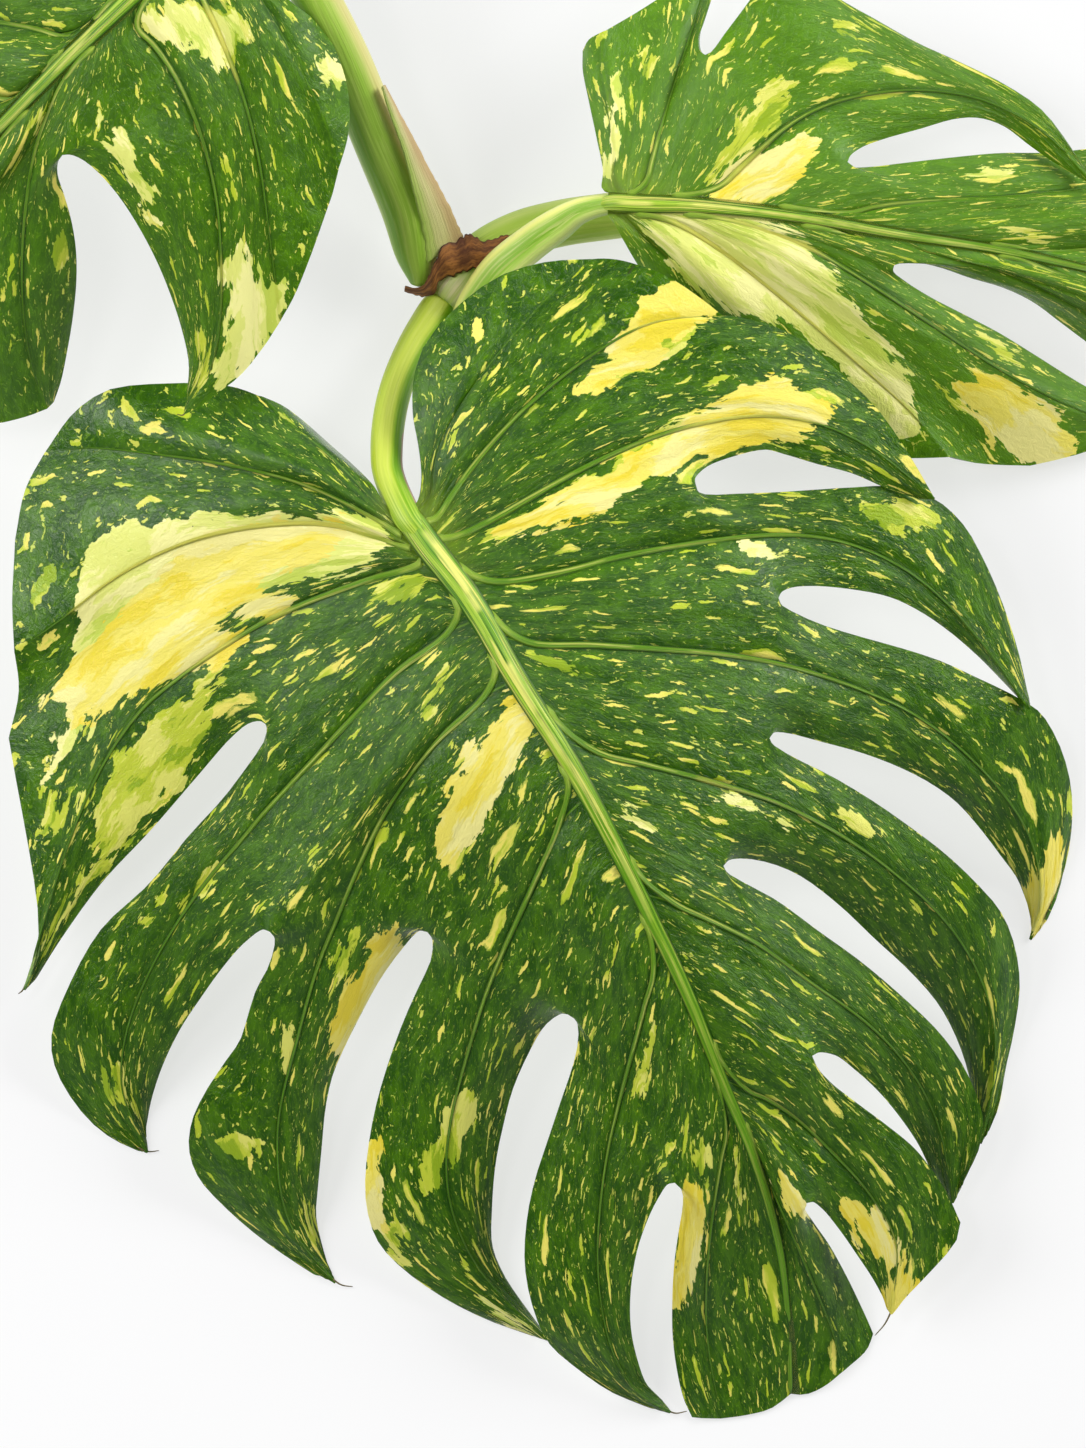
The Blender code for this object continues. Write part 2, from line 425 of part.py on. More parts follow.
def leaf_side(rib, side_table, side, end_at, inner, outer, half):
    """Border and vein lines of one side of a leaf, each with its rows from midrib to margin."""
    last = inner + outer
    veins = []
    for item in side_table:
        if item["kind"] == "vein":
            start = rib.edge(item["at"], side)
            veins.append({"item": item, "dense": smooth_line(np.vstack([start[None, :], item["line"]]))})
    borders = []
    for item in side_table:
        if item["kind"] == "vein":
            continue
        start = rib.edge(item["at"], side)[:2]
        dense = smooth_line(np.vstack([start[None, :], item["line"]]))
        borders.append({"item": item, "dense": dense})
    end_line = np.array([rib.at(s)[:3] for s in np.linspace(end_at + END_AHEAD, rib.station[-1], 60)])
    borders.append({"item": {"kind": "end", "at": end_at}, "dense": end_line})
    # Rows of each border, in plan, with one row set on each side of a slit.
    for border in borders:
        item = border["item"]
        kind = item["kind"]
        if kind == "slit":
            near = smooth_line(np.vstack([border["dense"][-1:], item["near"]]))
            far = smooth_line(np.vstack([border["dense"][-1:], item["far"]]))
            inside = spaced(border["dense"], inner)
            border["near"] = np.vstack([inside, spaced(near, outer, TURN_SHARE)[1:]])
            border["far"] = np.vstack([inside, spaced(far, outer, TURN_SHARE)[1:]])
            border["mouth"] = border["dense"][-1]
        else:
            rows = spaced(border["dense"], last, TURN_SHARE if kind == "edge" else 0.0)
            border["near"] = rows
            border["far"] = rows
            border["mouth"] = rows[inner][:2]
    # Rows of each vein: the inner rows end level with the slits beside it.
    for k, vein_line in enumerate(veins):
        dense = vein_line["dense"]
        mouths = [borders[n]["mouth"][:2] for n in (k, k + 1)]
        level = [int(np.argmin(np.linalg.norm(dense[:, :2] - mouth, axis=1))) for mouth in mouths]
        level = min(level) + MOUTH_SHARE * (max(level) - min(level))
        level = int(min(max(level, len(dense) // 6), (3 * len(dense)) // 4))
        first = spaced(dense[:level + 1], inner)
        second = spaced(dense[level:], outer)
        vein_line["rows"] = np.vstack([first, second[1:]])
    # Heights of the borders.
    row = np.arange(last + 1)
    crest = CREST * np.sin(np.pi * np.clip(row / (inner * 2.0), 0.0, 1.0))
    for k, border in enumerate(borders):
        item = border["item"]
        kind = item["kind"]
        if kind == "end":
            along = np.linalg.norm(end_line[:, :2] - end_line[0, :2], axis=1)
            reach = np.linalg.norm(border["near"][:, :2] - end_line[0, :2], axis=1)
            height = np.interp(reach, along, end_line[:, 2])
            border["near_z"] = height
            border["far_z"] = height
            continue
        after = veins[k]["rows"][:, 2]
        before = veins[k - 1]["rows"][:, 2] if k > 0 else after
        rib_z = rib.at(item["at"])[2]
        shared = 0.5 * (before + after) + crest
        first_rows = ease(row / max(1.0, inner * 0.7))
        shared = rib_z * (1.0 - first_rows) + shared * first_rows
        if kind == "edge":
            border["near_z"] = after + item["lift"] * ease(row / last)
            border["near_z"][0] = rib_z
            border["far_z"] = border["near_z"]
        elif kind == "join":
            border["near_z"] = shared
            border["far_z"] = shared
        else:
            share = ease((row - inner) / outer)
            for name, owner in (("near", before), ("far", after)):
                step = shared[inner] - owner[inner]
                level = owner + (1.0 - share) * step + share * item[name + "_lift"]
                border[name + "_z"] = np.where(row <= inner, shared, level)
    # Rims between the ends of borders and veins.
    for k, vein_line in enumerate(veins):
        item = vein_line["item"]
        tip = vein_line["rows"][-1]
        start = np.append(borders[k]["far"][-1][:2], borders[k]["far_z"][-1])
        stop = np.append(borders[k + 1]["near"][-1][:2], borders[k + 1]["near_z"][-1])
        rims = (("rim_before", (start, tip), item["before"]), ("rim_after", (tip, stop), item["after"]))
        for name, ends, points in rims:
            inside = [np.array([p[0], p[1], 0.0]) for p in points]
            line = smooth_line(np.vstack([ends[0], *inside, ends[1]]))
            rim = spaced(line, half)
            rim[:, 2] = np.linspace(ends[0][2], ends[1][2], half + 1)
            vein_line[name] = rim
    return borders, veins


def half_lobe(rib, side, border_rows, vein_rows, stations, rim, inner, outer, half, split, on_midrib):
    """Points of the sheet between a border and a vein: [column from border to vein][row from 1]."""
    last = inner + outer
    points = np.zeros((half + 1, last + 1, 3))
    row = np.arange(last + 1)
    free = split * ease((row - inner + 1.0) / 2.0) if split < 1.5 else ease(row / 2.0)
    width = np.linalg.norm(border_rows[:, :2] - vein_rows[:, :2], axis=1) * PLAN_UNIT
    for j in range(half + 1):
        t = j / half
        flat = (1.0 - t) * border_rows + t * vein_rows
        rib_point = rib.edge((1.0 - t) * stations[0] + t * stations[1], side)
        if j == 0 and on_midrib:
            rib_point = flat[0].copy()
        near_rib = (1.0 - row / last) ** 4
        near_rim = (row / last) ** 3
        flat[:, :2] += near_rib[:, None] * (rib_point - flat[0])[:2]
        flat[:, :2] += near_rim[:, None] * (rim[j] - flat[-1])[:2]
        valley = t * t
        mix = (1.0 - free) * valley + free * t
        height = border_rows[:, 2] + (vein_rows[:, 2] - border_rows[:, 2]) * mix
        height += free * LOBE_ARCH * width * 4.0 * t * (1.0 - t) * (1.0 - near_rim)
        height += near_rib * (rib_point[2] - height[0])
        flat[:, 2] = height
        points[j] = flat
    return points


def leaf_sheet(tables, inner, outer, half):
    """The middle surface of a leaf: points in mm, triangles that face up, and the thickness at each point."""
    midrib, table_left, table_right, end_at, rib_depth = tables
    rib = Midrib(midrib)
    last = inner + outer
    points = []
    depth = []
    index = {}
    quads = []

    def add(key, place, thick):
        if key not in index:
            index[key] = len(points)
            points.append(place)
            depth.append(thick)
        return index[key]

    stations = []
    for table in (table_left, table_right):
        at = [item["at"] for item in table] + [end_at]
        columns = []
        for a, b in zip(at[:-1], at[1:]):
            columns += list(np.linspace(a, b, half, endpoint=False))
        stations.append(np.array(columns + [end_at]))
    centre = 0.5 * (stations[0] + stations[1])
    for side_index, (table, side) in enumerate(((table_left, 1), (table_right, -1))):
        borders, veins = leaf_side(rib, table, side, end_at, inner, outer, half)
        for k, vein_line in enumerate(veins):
            vein_rows = vein_line["rows"]
            for part in (0, 1):
                border = borders[k + part]
                which = "far" if part == 0 else "near"
                kind = border["item"]["kind"]
                rows = np.column_stack([border[which][:, :2], border[which + "_z"]])
                split = {"slit": 1.0, "join": 0.0, "end": 0.0, "edge": 2.0}[kind]
                at = (border["item"]["at"], vein_line["item"]["at"])
                rim = vein_line["rim_before"] if part == 0 else vein_line["rim_after"][::-1]
                patch = half_lobe(rib, side, rows, vein_rows, at, rim, inner, outer, half, split,
                                  kind == "end")
                base = 2 * k * half
                numbers = np.zeros((half + 1, last + 2), int)
                for j in range(half + 1):
                    column = base + j if part == 0 else base + 2 * half - j
                    middle = rib.at(centre[column])
                    thick = BLADE_THICKNESS + rib_depth * middle[3] / midrib[0][3]
                    numbers[j, 0] = add(("rib", column), middle[:3], thick)
                    for i in range(last + 1):
                        key = (side_index, column, i)
                        if kind == "end" and j == 0:
                            key = ("end", i)
                        elif kind == "slit" and j == 0 and i > inner:
                            key = (side_index, column, i, which)
                        numbers[j, i + 1] = add(key, patch[j, i], BLADE_THICKNESS)
                if part == 1:
                    numbers = numbers[::-1]
                for j in range(half):
                    for i in range(last + 1):
                        a, b = numbers[j, i], numbers[j + 1, i]
                        c, d = numbers[j + 1, i + 1], numbers[j, i + 1]
                        quads.append((a, d, c, b) if side == 1 else (a, b, c, d))
    points = to_mm(points)
    points[:, 2] = np.maximum(points[:, 2], LOWEST_MIDDLE)
    quads = np.array(quads)
    held = [number for key, number in index.items() if key[0] == "rib" or key[-1] == 0]
    for _ in range(4):
        faces = split_quads(points, quads)
        points = unfolded(points, faces, held)
    return points, split_quads(points, quads), np.array(depth)


def plan_area(points, faces):
    """Signed areas of triangles seen from above."""
    a, b, c = (points[faces[:, k], :2] for k in range(3))
    return 0.5 * ((b - a)[:, 0] * (c - a)[:, 1] - (c - a)[:, 0] * (b - a)[:, 1])


def split_quads(points, quads):
    """Two triangles for each quad, cut along the diagonal that leaves the larger smallest triangle."""
    one = (quads[:, [0, 1, 2]], quads[:, [0, 2, 3]])
    other = (quads[:, [1, 2, 3]], quads[:, [1, 3, 0]])
    least_one = np.minimum(plan_area(points, one[0]), plan_area(points, one[1]))
    least_other = np.minimum(plan_area(points, other[0]), plan_area(points, other[1]))
    first_better = (least_one >= 0.8 * least_other)[:, None]
    halves = [np.where(first_better, one[k], other[k]) for k in (0, 1)]
    return np.stack(halves, axis=1).reshape(-1, 3)


def unfolded(points, faces, held):
    """Points inside the sheet whose triangles are folded over or very thin move towards their neighbours."""
    edges = np.vstack([faces[:, [0, 1]], faces[:, [1, 2]], faces[:, [2, 0]]])
    pairs = {(int(a), int(b)) for a, b in edges}
    inside = np.ones(len(points), bool)
    inside[[a for a, b in pairs if (b, a) not in pairs]] = False
    inside[held] = False
    neighbours = np.maximum(np.bincount(edges[:, 0], minlength=len(points)), 1)[:, None]
    points = points.copy()
    for _ in range(30):
        folded = plan_area(points, faces) < THINNEST_TRIANGLE
        loose = np.zeros(len(points), bool)
        loose[faces[folded].ravel()] = True
        loose &= inside
        if not loose.any():
            break
        total = np.zeros_like(points)
        np.add.at(total, edges[:, 0], points[edges[:, 1]])
        points[loose] += 0.5 * ((total / neighbours)[loose] - points[loose])
    return points


def point_normals(points, faces):
    """Unit normals at the points, weighted by area."""
    corner = points[faces]
    cross = np.cross(corner[:, 1] - corner[:, 0], corner[:, 2] - corner[:, 0])
    normals = np.zeros_like(points)
    for k in range(3):
        np.add.at(normals, faces[:, k], cross)
    normals[:, 2] += 1e-6
    return normals / np.linalg.norm(normals, axis=1)[:, None]


def thick_sheet(points, faces, depth):
    """A closed sheet: like triangles above and below, a wall round the margin, and nothing below z = 0."""
    normals = point_normals(points, faces)
    half_depth = np.asarray(depth)[:, None] * 0.5
    top = points + normals * half_depth
    under = points - normals * half_depth
    under[:, 2] = np.maximum(under[:, 2], 0.0)
    top[:, 2] = np.maximum(top[:, 2], under[:, 2] + LEAST_THICKNESS)
    count = len(points)
    seen = {}
    for a, b, c in faces:
        for edge_pair in ((a, b), (b, c), (c, a)):
            seen[edge_pair] = True
    wall = []
    for a, b in seen:
        if (b, a) not in seen:
            wall += [(a, a + count, b + count), (a, b + count, b)]
    under_faces = [(a + count, c + count, b + count) for a, b, c in faces]
    return np.vstack([top, under]), [tuple(f) for f in faces] + under_faces + wall


def rings_along(path, count):
    """Smooth rings along a stalk: places and radii in mm, directions ahead, to the side and up."""
    line = spaced(smooth_line(path, 20), count)
    place = to_mm(line)
    ahead = np.gradient(place, axis=0)
    ahead /= np.linalg.norm(ahead, axis=1)[:, None]
    across = np.cross(ahead, np.array([0.0, 0.0, 1.0]))
    across /= np.linalg.norm(across, axis=1)[:, None]
    upward = np.cross(across, ahead)
    return place, line[:, 3], ahead, across, upward


def stalk_end(midrib, rib_depth, gap, back, ahead):
    """Last points of a stalk, which ends just under its leaf's base."""
    first = np.array(midrib[0][:2], float)
    heading = np.array(midrib[2][:2], float) - first
    heading /= np.linalg.norm(heading)
    under = midrib[0][2] - 0.5 * (BLADE_THICKNESS + rib_depth) - gap
    radius = midrib[1][3]
    made = []
    stations = ((-back, radius * 1.06, 1.5), (0.0, radius, 0.35), (ahead, radius * 0.85, 0.0))
    for distance, size, sink in stations:
        x, y = first + heading * distance / PLAN_UNIT
        made.append((x, y, under - sink - size, size))
    return made


def round_stalk(path, count, sides, channel=0.0, seat=None):
    """A closed round stalk. channel sinks a groove along its upper face; seat is its first ring's plane."""
    place, radius, ahead, across, upward = rings_along(path, count)
    angle = np.arange(sides) * 2.0 * np.pi / sides
    points = []
    for i in range(len(place)):
        sunk = channel * ease(4.0 * (1.0 - i / count))
        spread = radius[i] * (1.0 - sunk * np.exp(-((angle - np.pi / 2) / 0.45) ** 2))
        outward = np.cos(angle)[:, None] * across[i] + np.sin(angle)[:, None] * upward[i]
        ring = place[i] + spread[:, None] * outward
        if i == 0 and seat is not None:
            move = ((seat[0] - ring) @ seat[1]) / (ahead[0] @ seat[1])
            ring = ring + move[:, None] * ahead[0]
        points.append(ring)
    rings = len(points)
    points = np.vstack(points + [points[0].mean(axis=0)[None, :], points[-1].mean(axis=0)[None, :]])
    points[:, 2] = np.maximum(points[:, 2], 0.0)
    first_centre, last_centre = rings * sides, rings * sides + 1
    faces = []
    for i in range(rings - 1):
        for j in range(sides):
            a, b = i * sides + j, i * sides + (j + 1) % sides
            c, d = b + sides, a + sides
            faces += [(a, c, b), (a, d, c)]
    for j in range(sides):
        faces.append((first_centre, j, (j + 1) % sides))
        faces.append((last_centre, (rings - 1) * sides + (j + 1) % sides, (rings - 1) * sides + j))
    return points, faces


def wrapped_strip(path, reach, angles, clear, across_steps, depth, flare=0.0):
    """A sheath strip round a stalk: reach is its share of the path, angles its two edges from the top."""
    place, radius, ahead, across, upward = rings_along(path, 60)
    shares = np.linspace(reach[0], reach[1], len(angles))
    points = []
    for share, (first, second) in zip(shares, angles):
        at = share * 60.0
        i = int(min(at, 59))
        f = at - i
        centre = place[i] * (1 - f) + place[i + 1] * f
        r = radius[i] * (1 - f) + radius[i + 1] * f
        for step in range(across_steps + 1):
            part = step / across_steps
            turn = np.radians(first + (second - first) * part)
            outward = np.sin(turn) * across[i] + np.cos(turn) * upward[i]
            points.append(centre + outward * (r + clear + depth * 0.5 + flare * part * part * share))
    faces = []
    wide = across_steps + 1
    for i in range(len(angles) - 1):
        for j in range(across_steps):
            a, b = i * wide + j, i * wide + j + 1
            c, d = b + wide, a + wide
            faces += [(a, b, c), (a, c, d)]
    points = np.array(points)
    faces = np.array(faces)
    middle = points.mean(axis=0)
    if np.sum(point_normals(points, faces) @ (middle - place.mean(axis=0))) < 0.0:
        faces = faces[:, ::-1]
    return points, faces, np.full(len(points), depth)


def material(name, colour, roughness):
    """A plain surface colour."""
    made = bpy.data.materials.new(name)
    made.use_nodes = True
    shader = made.node_tree.nodes["Principled BSDF"]
    shader.inputs["Base Color"].default_value = (*colour, 1.0)
    shader.inputs["Roughness"].default_value = roughness
    return made


def solid(name, points, faces, look):
    """A named object from points in mm."""
    mesh = bpy.data.meshes.new(name)
    mesh.from_pydata([tuple(p * MM) for p in points], [], [tuple(int(i) for i in f) for f in faces])
    mesh.update()
    mesh.materials.append(look)
    thing = bpy.data.objects.new(name, mesh)
    bpy.context.scene.collection.objects.link(thing)
    return thing


LEAF_GREEN = material("leaf green", (0.05, 0.16, 0.02), 0.4)
STEM_GREEN = material("stem green", (0.33, 0.42, 0.13), 0.5)
STALK_GREEN = material("stalk green", (0.28, 0.40, 0.08), 0.45)
SHEATH_BROWN = material("sheath brown", (0.16, 0.06, 0.02), 0.8)
SHEATH_TAN = material("sheath tan", (0.45, 0.35, 0.17), 0.8)

for leaf_name, leaf_tables in LEAVES.items():
    sheet_points, sheet_faces, sheet_depth = leaf_sheet(leaf_tables, INNER_ROWS, OUTER_ROWS, HALF_COLUMNS)
    solid(leaf_name, *thick_sheet(sheet_points, sheet_faces, sheet_depth), LEAF_GREEN)

# The stem lies on its flattened underside.
solid("stem", *round_stalk(STEM_PATH, 16, 16), STEM_GREEN)

# The brown sheath wraps the upper left shoulder of the node, and the left stalk sits on it.
strip = wrapped_strip(STEM_PATH, NODE_SHEATH_REACH, NODE_SHEATH_EDGES, NODE_SHEATH_CLEAR, 6, SHEATH_THICKNESS)
solid("node_sheath", *thick_sheet(*strip), SHEATH_BROWN)

node_place, node_radius, node_ahead, node_across, node_up = rings_along(STEM_PATH, 60)
at_node = int(round(LEFT_SEAT_SHARE * 60))
turn = np.radians(LEFT_SEAT_ANGLE)
seat_out = np.sin(turn) * node_across[at_node] + np.cos(turn) * node_up[at_node]
seat_rise = NODE_SHEATH_CLEAR + SHEATH_THICKNESS + SEAT_GAP + SEAT_ROOM
seat_place = node_place[at_node] + seat_out * (node_radius[at_node] + seat_rise)

left_path = LEFT_STALK + stalk_end(LEFT_MIDRIB, LEAVES["leaf_left"][4], SEAT_GAP, *STALK_END_REACH)
solid("petiole_left", *round_stalk(left_path, 20, 12, LEFT_CHANNEL, (seat_place, seat_out)), STALK_GREEN)
tan_strip = wrapped_strip(left_path, TAN_SHEATH_REACH, TAN_SHEATH_EDGES, SEAT_GAP, 4, SHEATH_THICKNESS,
                          TAN_SHEATH_FLARE)
solid("petiole_left_sheath", *thick_sheet(*tan_strip), SHEATH_TAN)

# The main stalk carries on from the stem's end, with its first ring parallel to the stem's last one.
stem_end = STEM_PATH[-1]
stem_ahead = rings_along(STEM_PATH, 16)[2][-1]
main_seat = (to_mm([stem_end])[0] + stem_ahead * SEAT_GAP, stem_ahead)
main_path = MAIN_STALK + stalk_end(MAIN_MIDRIB, LEAVES["leaf_main"][4], SEAT_GAP, *STALK_END_REACH)
solid("petiole_main", *round_stalk(main_path, 16, 12, CHANNEL, main_seat), STALK_GREEN)

right_path = RIGHT_STALK + stalk_end(RIGHT_MIDRIB, LEAVES["leaf_right"][4], SEAT_GAP, *STALK_END_REACH)
solid("petiole_right", *round_stalk(right_path, 14, 12, CHANNEL), STALK_GREEN)
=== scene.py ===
"""The monstera cutting of the photograph: variegated split blades, stalks, sheaths and dry threads."""

import math

import bpy
import numpy as np
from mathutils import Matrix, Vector


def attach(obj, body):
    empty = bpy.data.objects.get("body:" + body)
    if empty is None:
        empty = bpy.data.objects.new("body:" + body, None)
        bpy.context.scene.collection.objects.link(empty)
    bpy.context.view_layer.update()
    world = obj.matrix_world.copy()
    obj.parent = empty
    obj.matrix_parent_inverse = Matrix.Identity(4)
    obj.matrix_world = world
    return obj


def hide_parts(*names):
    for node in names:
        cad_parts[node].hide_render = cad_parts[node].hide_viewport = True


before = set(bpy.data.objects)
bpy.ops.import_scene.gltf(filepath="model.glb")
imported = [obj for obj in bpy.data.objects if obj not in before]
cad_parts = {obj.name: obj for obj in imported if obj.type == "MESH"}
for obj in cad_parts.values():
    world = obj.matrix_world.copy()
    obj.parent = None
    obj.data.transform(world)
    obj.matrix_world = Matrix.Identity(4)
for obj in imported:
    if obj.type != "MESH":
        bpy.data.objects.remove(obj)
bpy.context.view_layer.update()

MM = 0.001

# Driving sizes, in mm. The tables below are in plan units, x to the right and y down the large leaf.
PLAN_UNIT = 0.31
# The plan point that lies over the frame's origin, where the stem rests.
PLAN_ORIGIN = (560.0, 221.0)
BLADE_THICKNESS = 0.9
# Rise of the blade between two side veins, in mm, and arch of a free lobe as a share of its half width.
CREST = 1.6
LOBE_ARCH = 0.05


def edge(line, lift=-3.0):
    """The free margin from the leaf base."""
    return {"kind": "edge", "at": 0.0, "line": line, "lift": lift}


def vein(at, line, before=(), after=()):
    """A side vein that leaves the midrib at a station, with the margin points before and after its end."""
    return {"kind": "vein", "at": at, "line": line, "before": before, "after": after}


def join(at, line):
    """A border between two veins with no slit."""
    return {"kind": "join", "at": at, "line": line}


def slit(at, inner, near, far, near_lift=-3.0, far_lift=-3.0):
    """A border with a slit: near is the side towards the leaf base, far is the side towards the tip."""
    return {"kind": "slit", "at": at, "line": inner, "near": near, "far": far,
            "near_lift": near_lift, "far_lift": far_lift}


# Each midrib point is x, y, height in mm and half width in mm.
MAIN_MIDRIB = [
    (405, 514, 66, 3.0), (412, 523, 66.6, 4.2), (430, 548, 68, 4.3), (470, 600, 71, 3.9),
    (517, 680, 73, 3.4), (568, 760, 72, 3.1),
    (612, 840, 68, 2.7), (652, 920, 62, 2.4), (690, 1000, 54, 2.1), (722, 1080, 45, 1.8),
    (755, 1160, 35, 1.5),
    (778, 1240, 24, 1.2), (788, 1310, 13, 0.9), (792, 1397, 1.2, 0.7)]
MAIN_END = 775.0
MAIN_LEFT = [
    edge([(385, 504), (372, 486), (352, 466), (333, 449)]),
    vein(7, [(378, 506, 65), (352, 478, 63), (325, 452, 59), (294, 428, 54), (262, 398, 46)],
         [(300, 420), (282, 407)], [(235, 388), (195, 384)]),
    join(14, [(368, 508), (310, 470), (250, 442), (190, 417), (150, 385)]),
    vein(21, [(374, 518, 65), (308, 486, 60), (230, 466, 52), (150, 454, 43), (90, 448, 35),
              (45, 452, 28)],
         [(110, 390), (75, 412)], [(25, 490)]),
    join(29, [(366, 528), (290, 504), (220, 496), (150, 497), (80, 512), (15, 540)]),
    vein(36, [(378, 538, 65), (332, 525, 62), (257, 527, 56), (187, 543, 49), (120, 575, 41),
              (60, 620, 33), (14, 652, 27)],
         [(14, 560), (12, 600)], [(18, 690)]),
    join(44, [(388, 553), (330, 556), (250, 575), (170, 609), (95, 659), (45, 705), (8, 738)]),
    vein(54, [(398, 572, 66), (348, 588, 63), (268, 621, 55), (205, 660, 48), (140, 712, 40),
              (95, 780, 32), (62, 860, 24), (40, 930, 17), (22, 991, 12)],
         [(17, 790), (28, 850), (37, 915), (35, 962)]),
    slit(95, [(430, 588), (380, 632), (320, 677), (267, 724)],
         [(262, 721), (250, 723), (232, 737), (200, 773), (150, 830), (100, 883), (60, 938), (34, 978)],
         [(269, 728), (266, 741), (250, 764), (225, 797), (190, 835), (150, 883), (100, 930), (66, 990),
          (50, 1035), (53, 1068), (75, 1108), (105, 1138), (136, 1153)], -3, -4),
    vein(128, [(448, 633, 70), (420, 655, 68), (381, 687, 65), (330, 745, 58), (287, 788, 52),
               (242, 840, 44), (200, 890, 36), (155, 960, 26), (126, 1030, 16), (120, 1090, 8),
               (145, 1155, 0.4)]),
    slit(165, [(470, 668), (420, 735), (355, 820), (305, 885), (271, 931)],
         [(264, 929), (245, 942), (225, 964), (200, 998), (178, 1031), (160, 1068), (148, 1104),
          (142, 1132)],
         [(275, 936), (275, 946), (268, 968), (257, 988), (249, 1012), (240, 1040), (222, 1066),
          (204, 1094), (191, 1122), (188, 1150), (197, 1178), (225, 1210), (270, 1248), (312, 1276)], -2, -4),
    vein(199, [(483, 697, 72), (433, 746, 68), (381, 819, 59), (346, 898, 49), (318, 966, 40),
               (297, 1040, 31), (278, 1120, 21), (280, 1195, 12), (296, 1240, 6), (334, 1286, 0.4)]),
    slit(262, [(530, 745), (500, 800), (460, 872), (428, 931)],
         [(420, 929), (400, 950), (378, 981), (358, 1018), (343, 1048), (331, 1077), (324, 1110),
          (320, 1150), (316, 1190), (314, 1218), (319, 1245), (328, 1272)],
         [(433, 937), (432, 958), (419, 987), (404, 1021), (389, 1062), (377, 1102), (369, 1142),
          (365, 1182), (367, 1212), (377, 1242), (398, 1267), (440, 1298), (490, 1323), (532, 1338)], -2, -4),
    vein(338, [(560, 822, 68), (548, 850, 66), (530, 892, 60), (510, 935, 54), (490, 983, 47),
               (473, 1035, 39), (458, 1090, 31), (447, 1145, 24), (450, 1205, 17), (474, 1264, 10),
               (512, 1310, 6), (548, 1343, 2.6)]),
    slit(430, [(612, 890), (598, 930), (582, 975), (568, 1013)],
         [(562, 1012), (545, 1024), (527, 1055), (512, 1090), (503, 1125), (495, 1165), (491, 1210),
          (491, 1248), (502, 1277), (520, 1305), (537, 1328)],
         [(577, 1019), (579, 1035), (574, 1062), (562, 1098), (548, 1140), (535, 1180), (527, 1220),
          (525, 1265), (533, 1308), (548, 1343), (575, 1369), (610, 1394), (645, 1409)], -3, -1),
    vein(509, [(652, 975, 58), (638, 1030, 51), (622, 1090, 43), (608, 1150, 37), (600, 1210, 31),
               (598, 1270, 25), (606, 1330, 18), (624, 1378, 10), (648, 1403, 5), (671, 1416, 2)]),
    slit(590, [(693, 1045), (688, 1090), (682, 1135), (675, 1182)],
         [(668, 1184), (657, 1200), (646, 1224), (637, 1252), (631, 1290), (631, 1328), (637, 1360),
          (647, 1388), (662, 1405)],
         [(682, 1188), (683, 1204), (679, 1232), (675, 1264), (673, 1300), (673, 1335), (677, 1370),
          (684, 1400), (693, 1421)], -2, -1),
    vein(678, [(727, 1120, 40), (720, 1165, 36), (712, 1220, 29), (707, 1280, 21), (708, 1340, 11),
               (722, 1422, 0.4)],
         [(706, 1422)], [(745, 1419), (772, 1412)])]
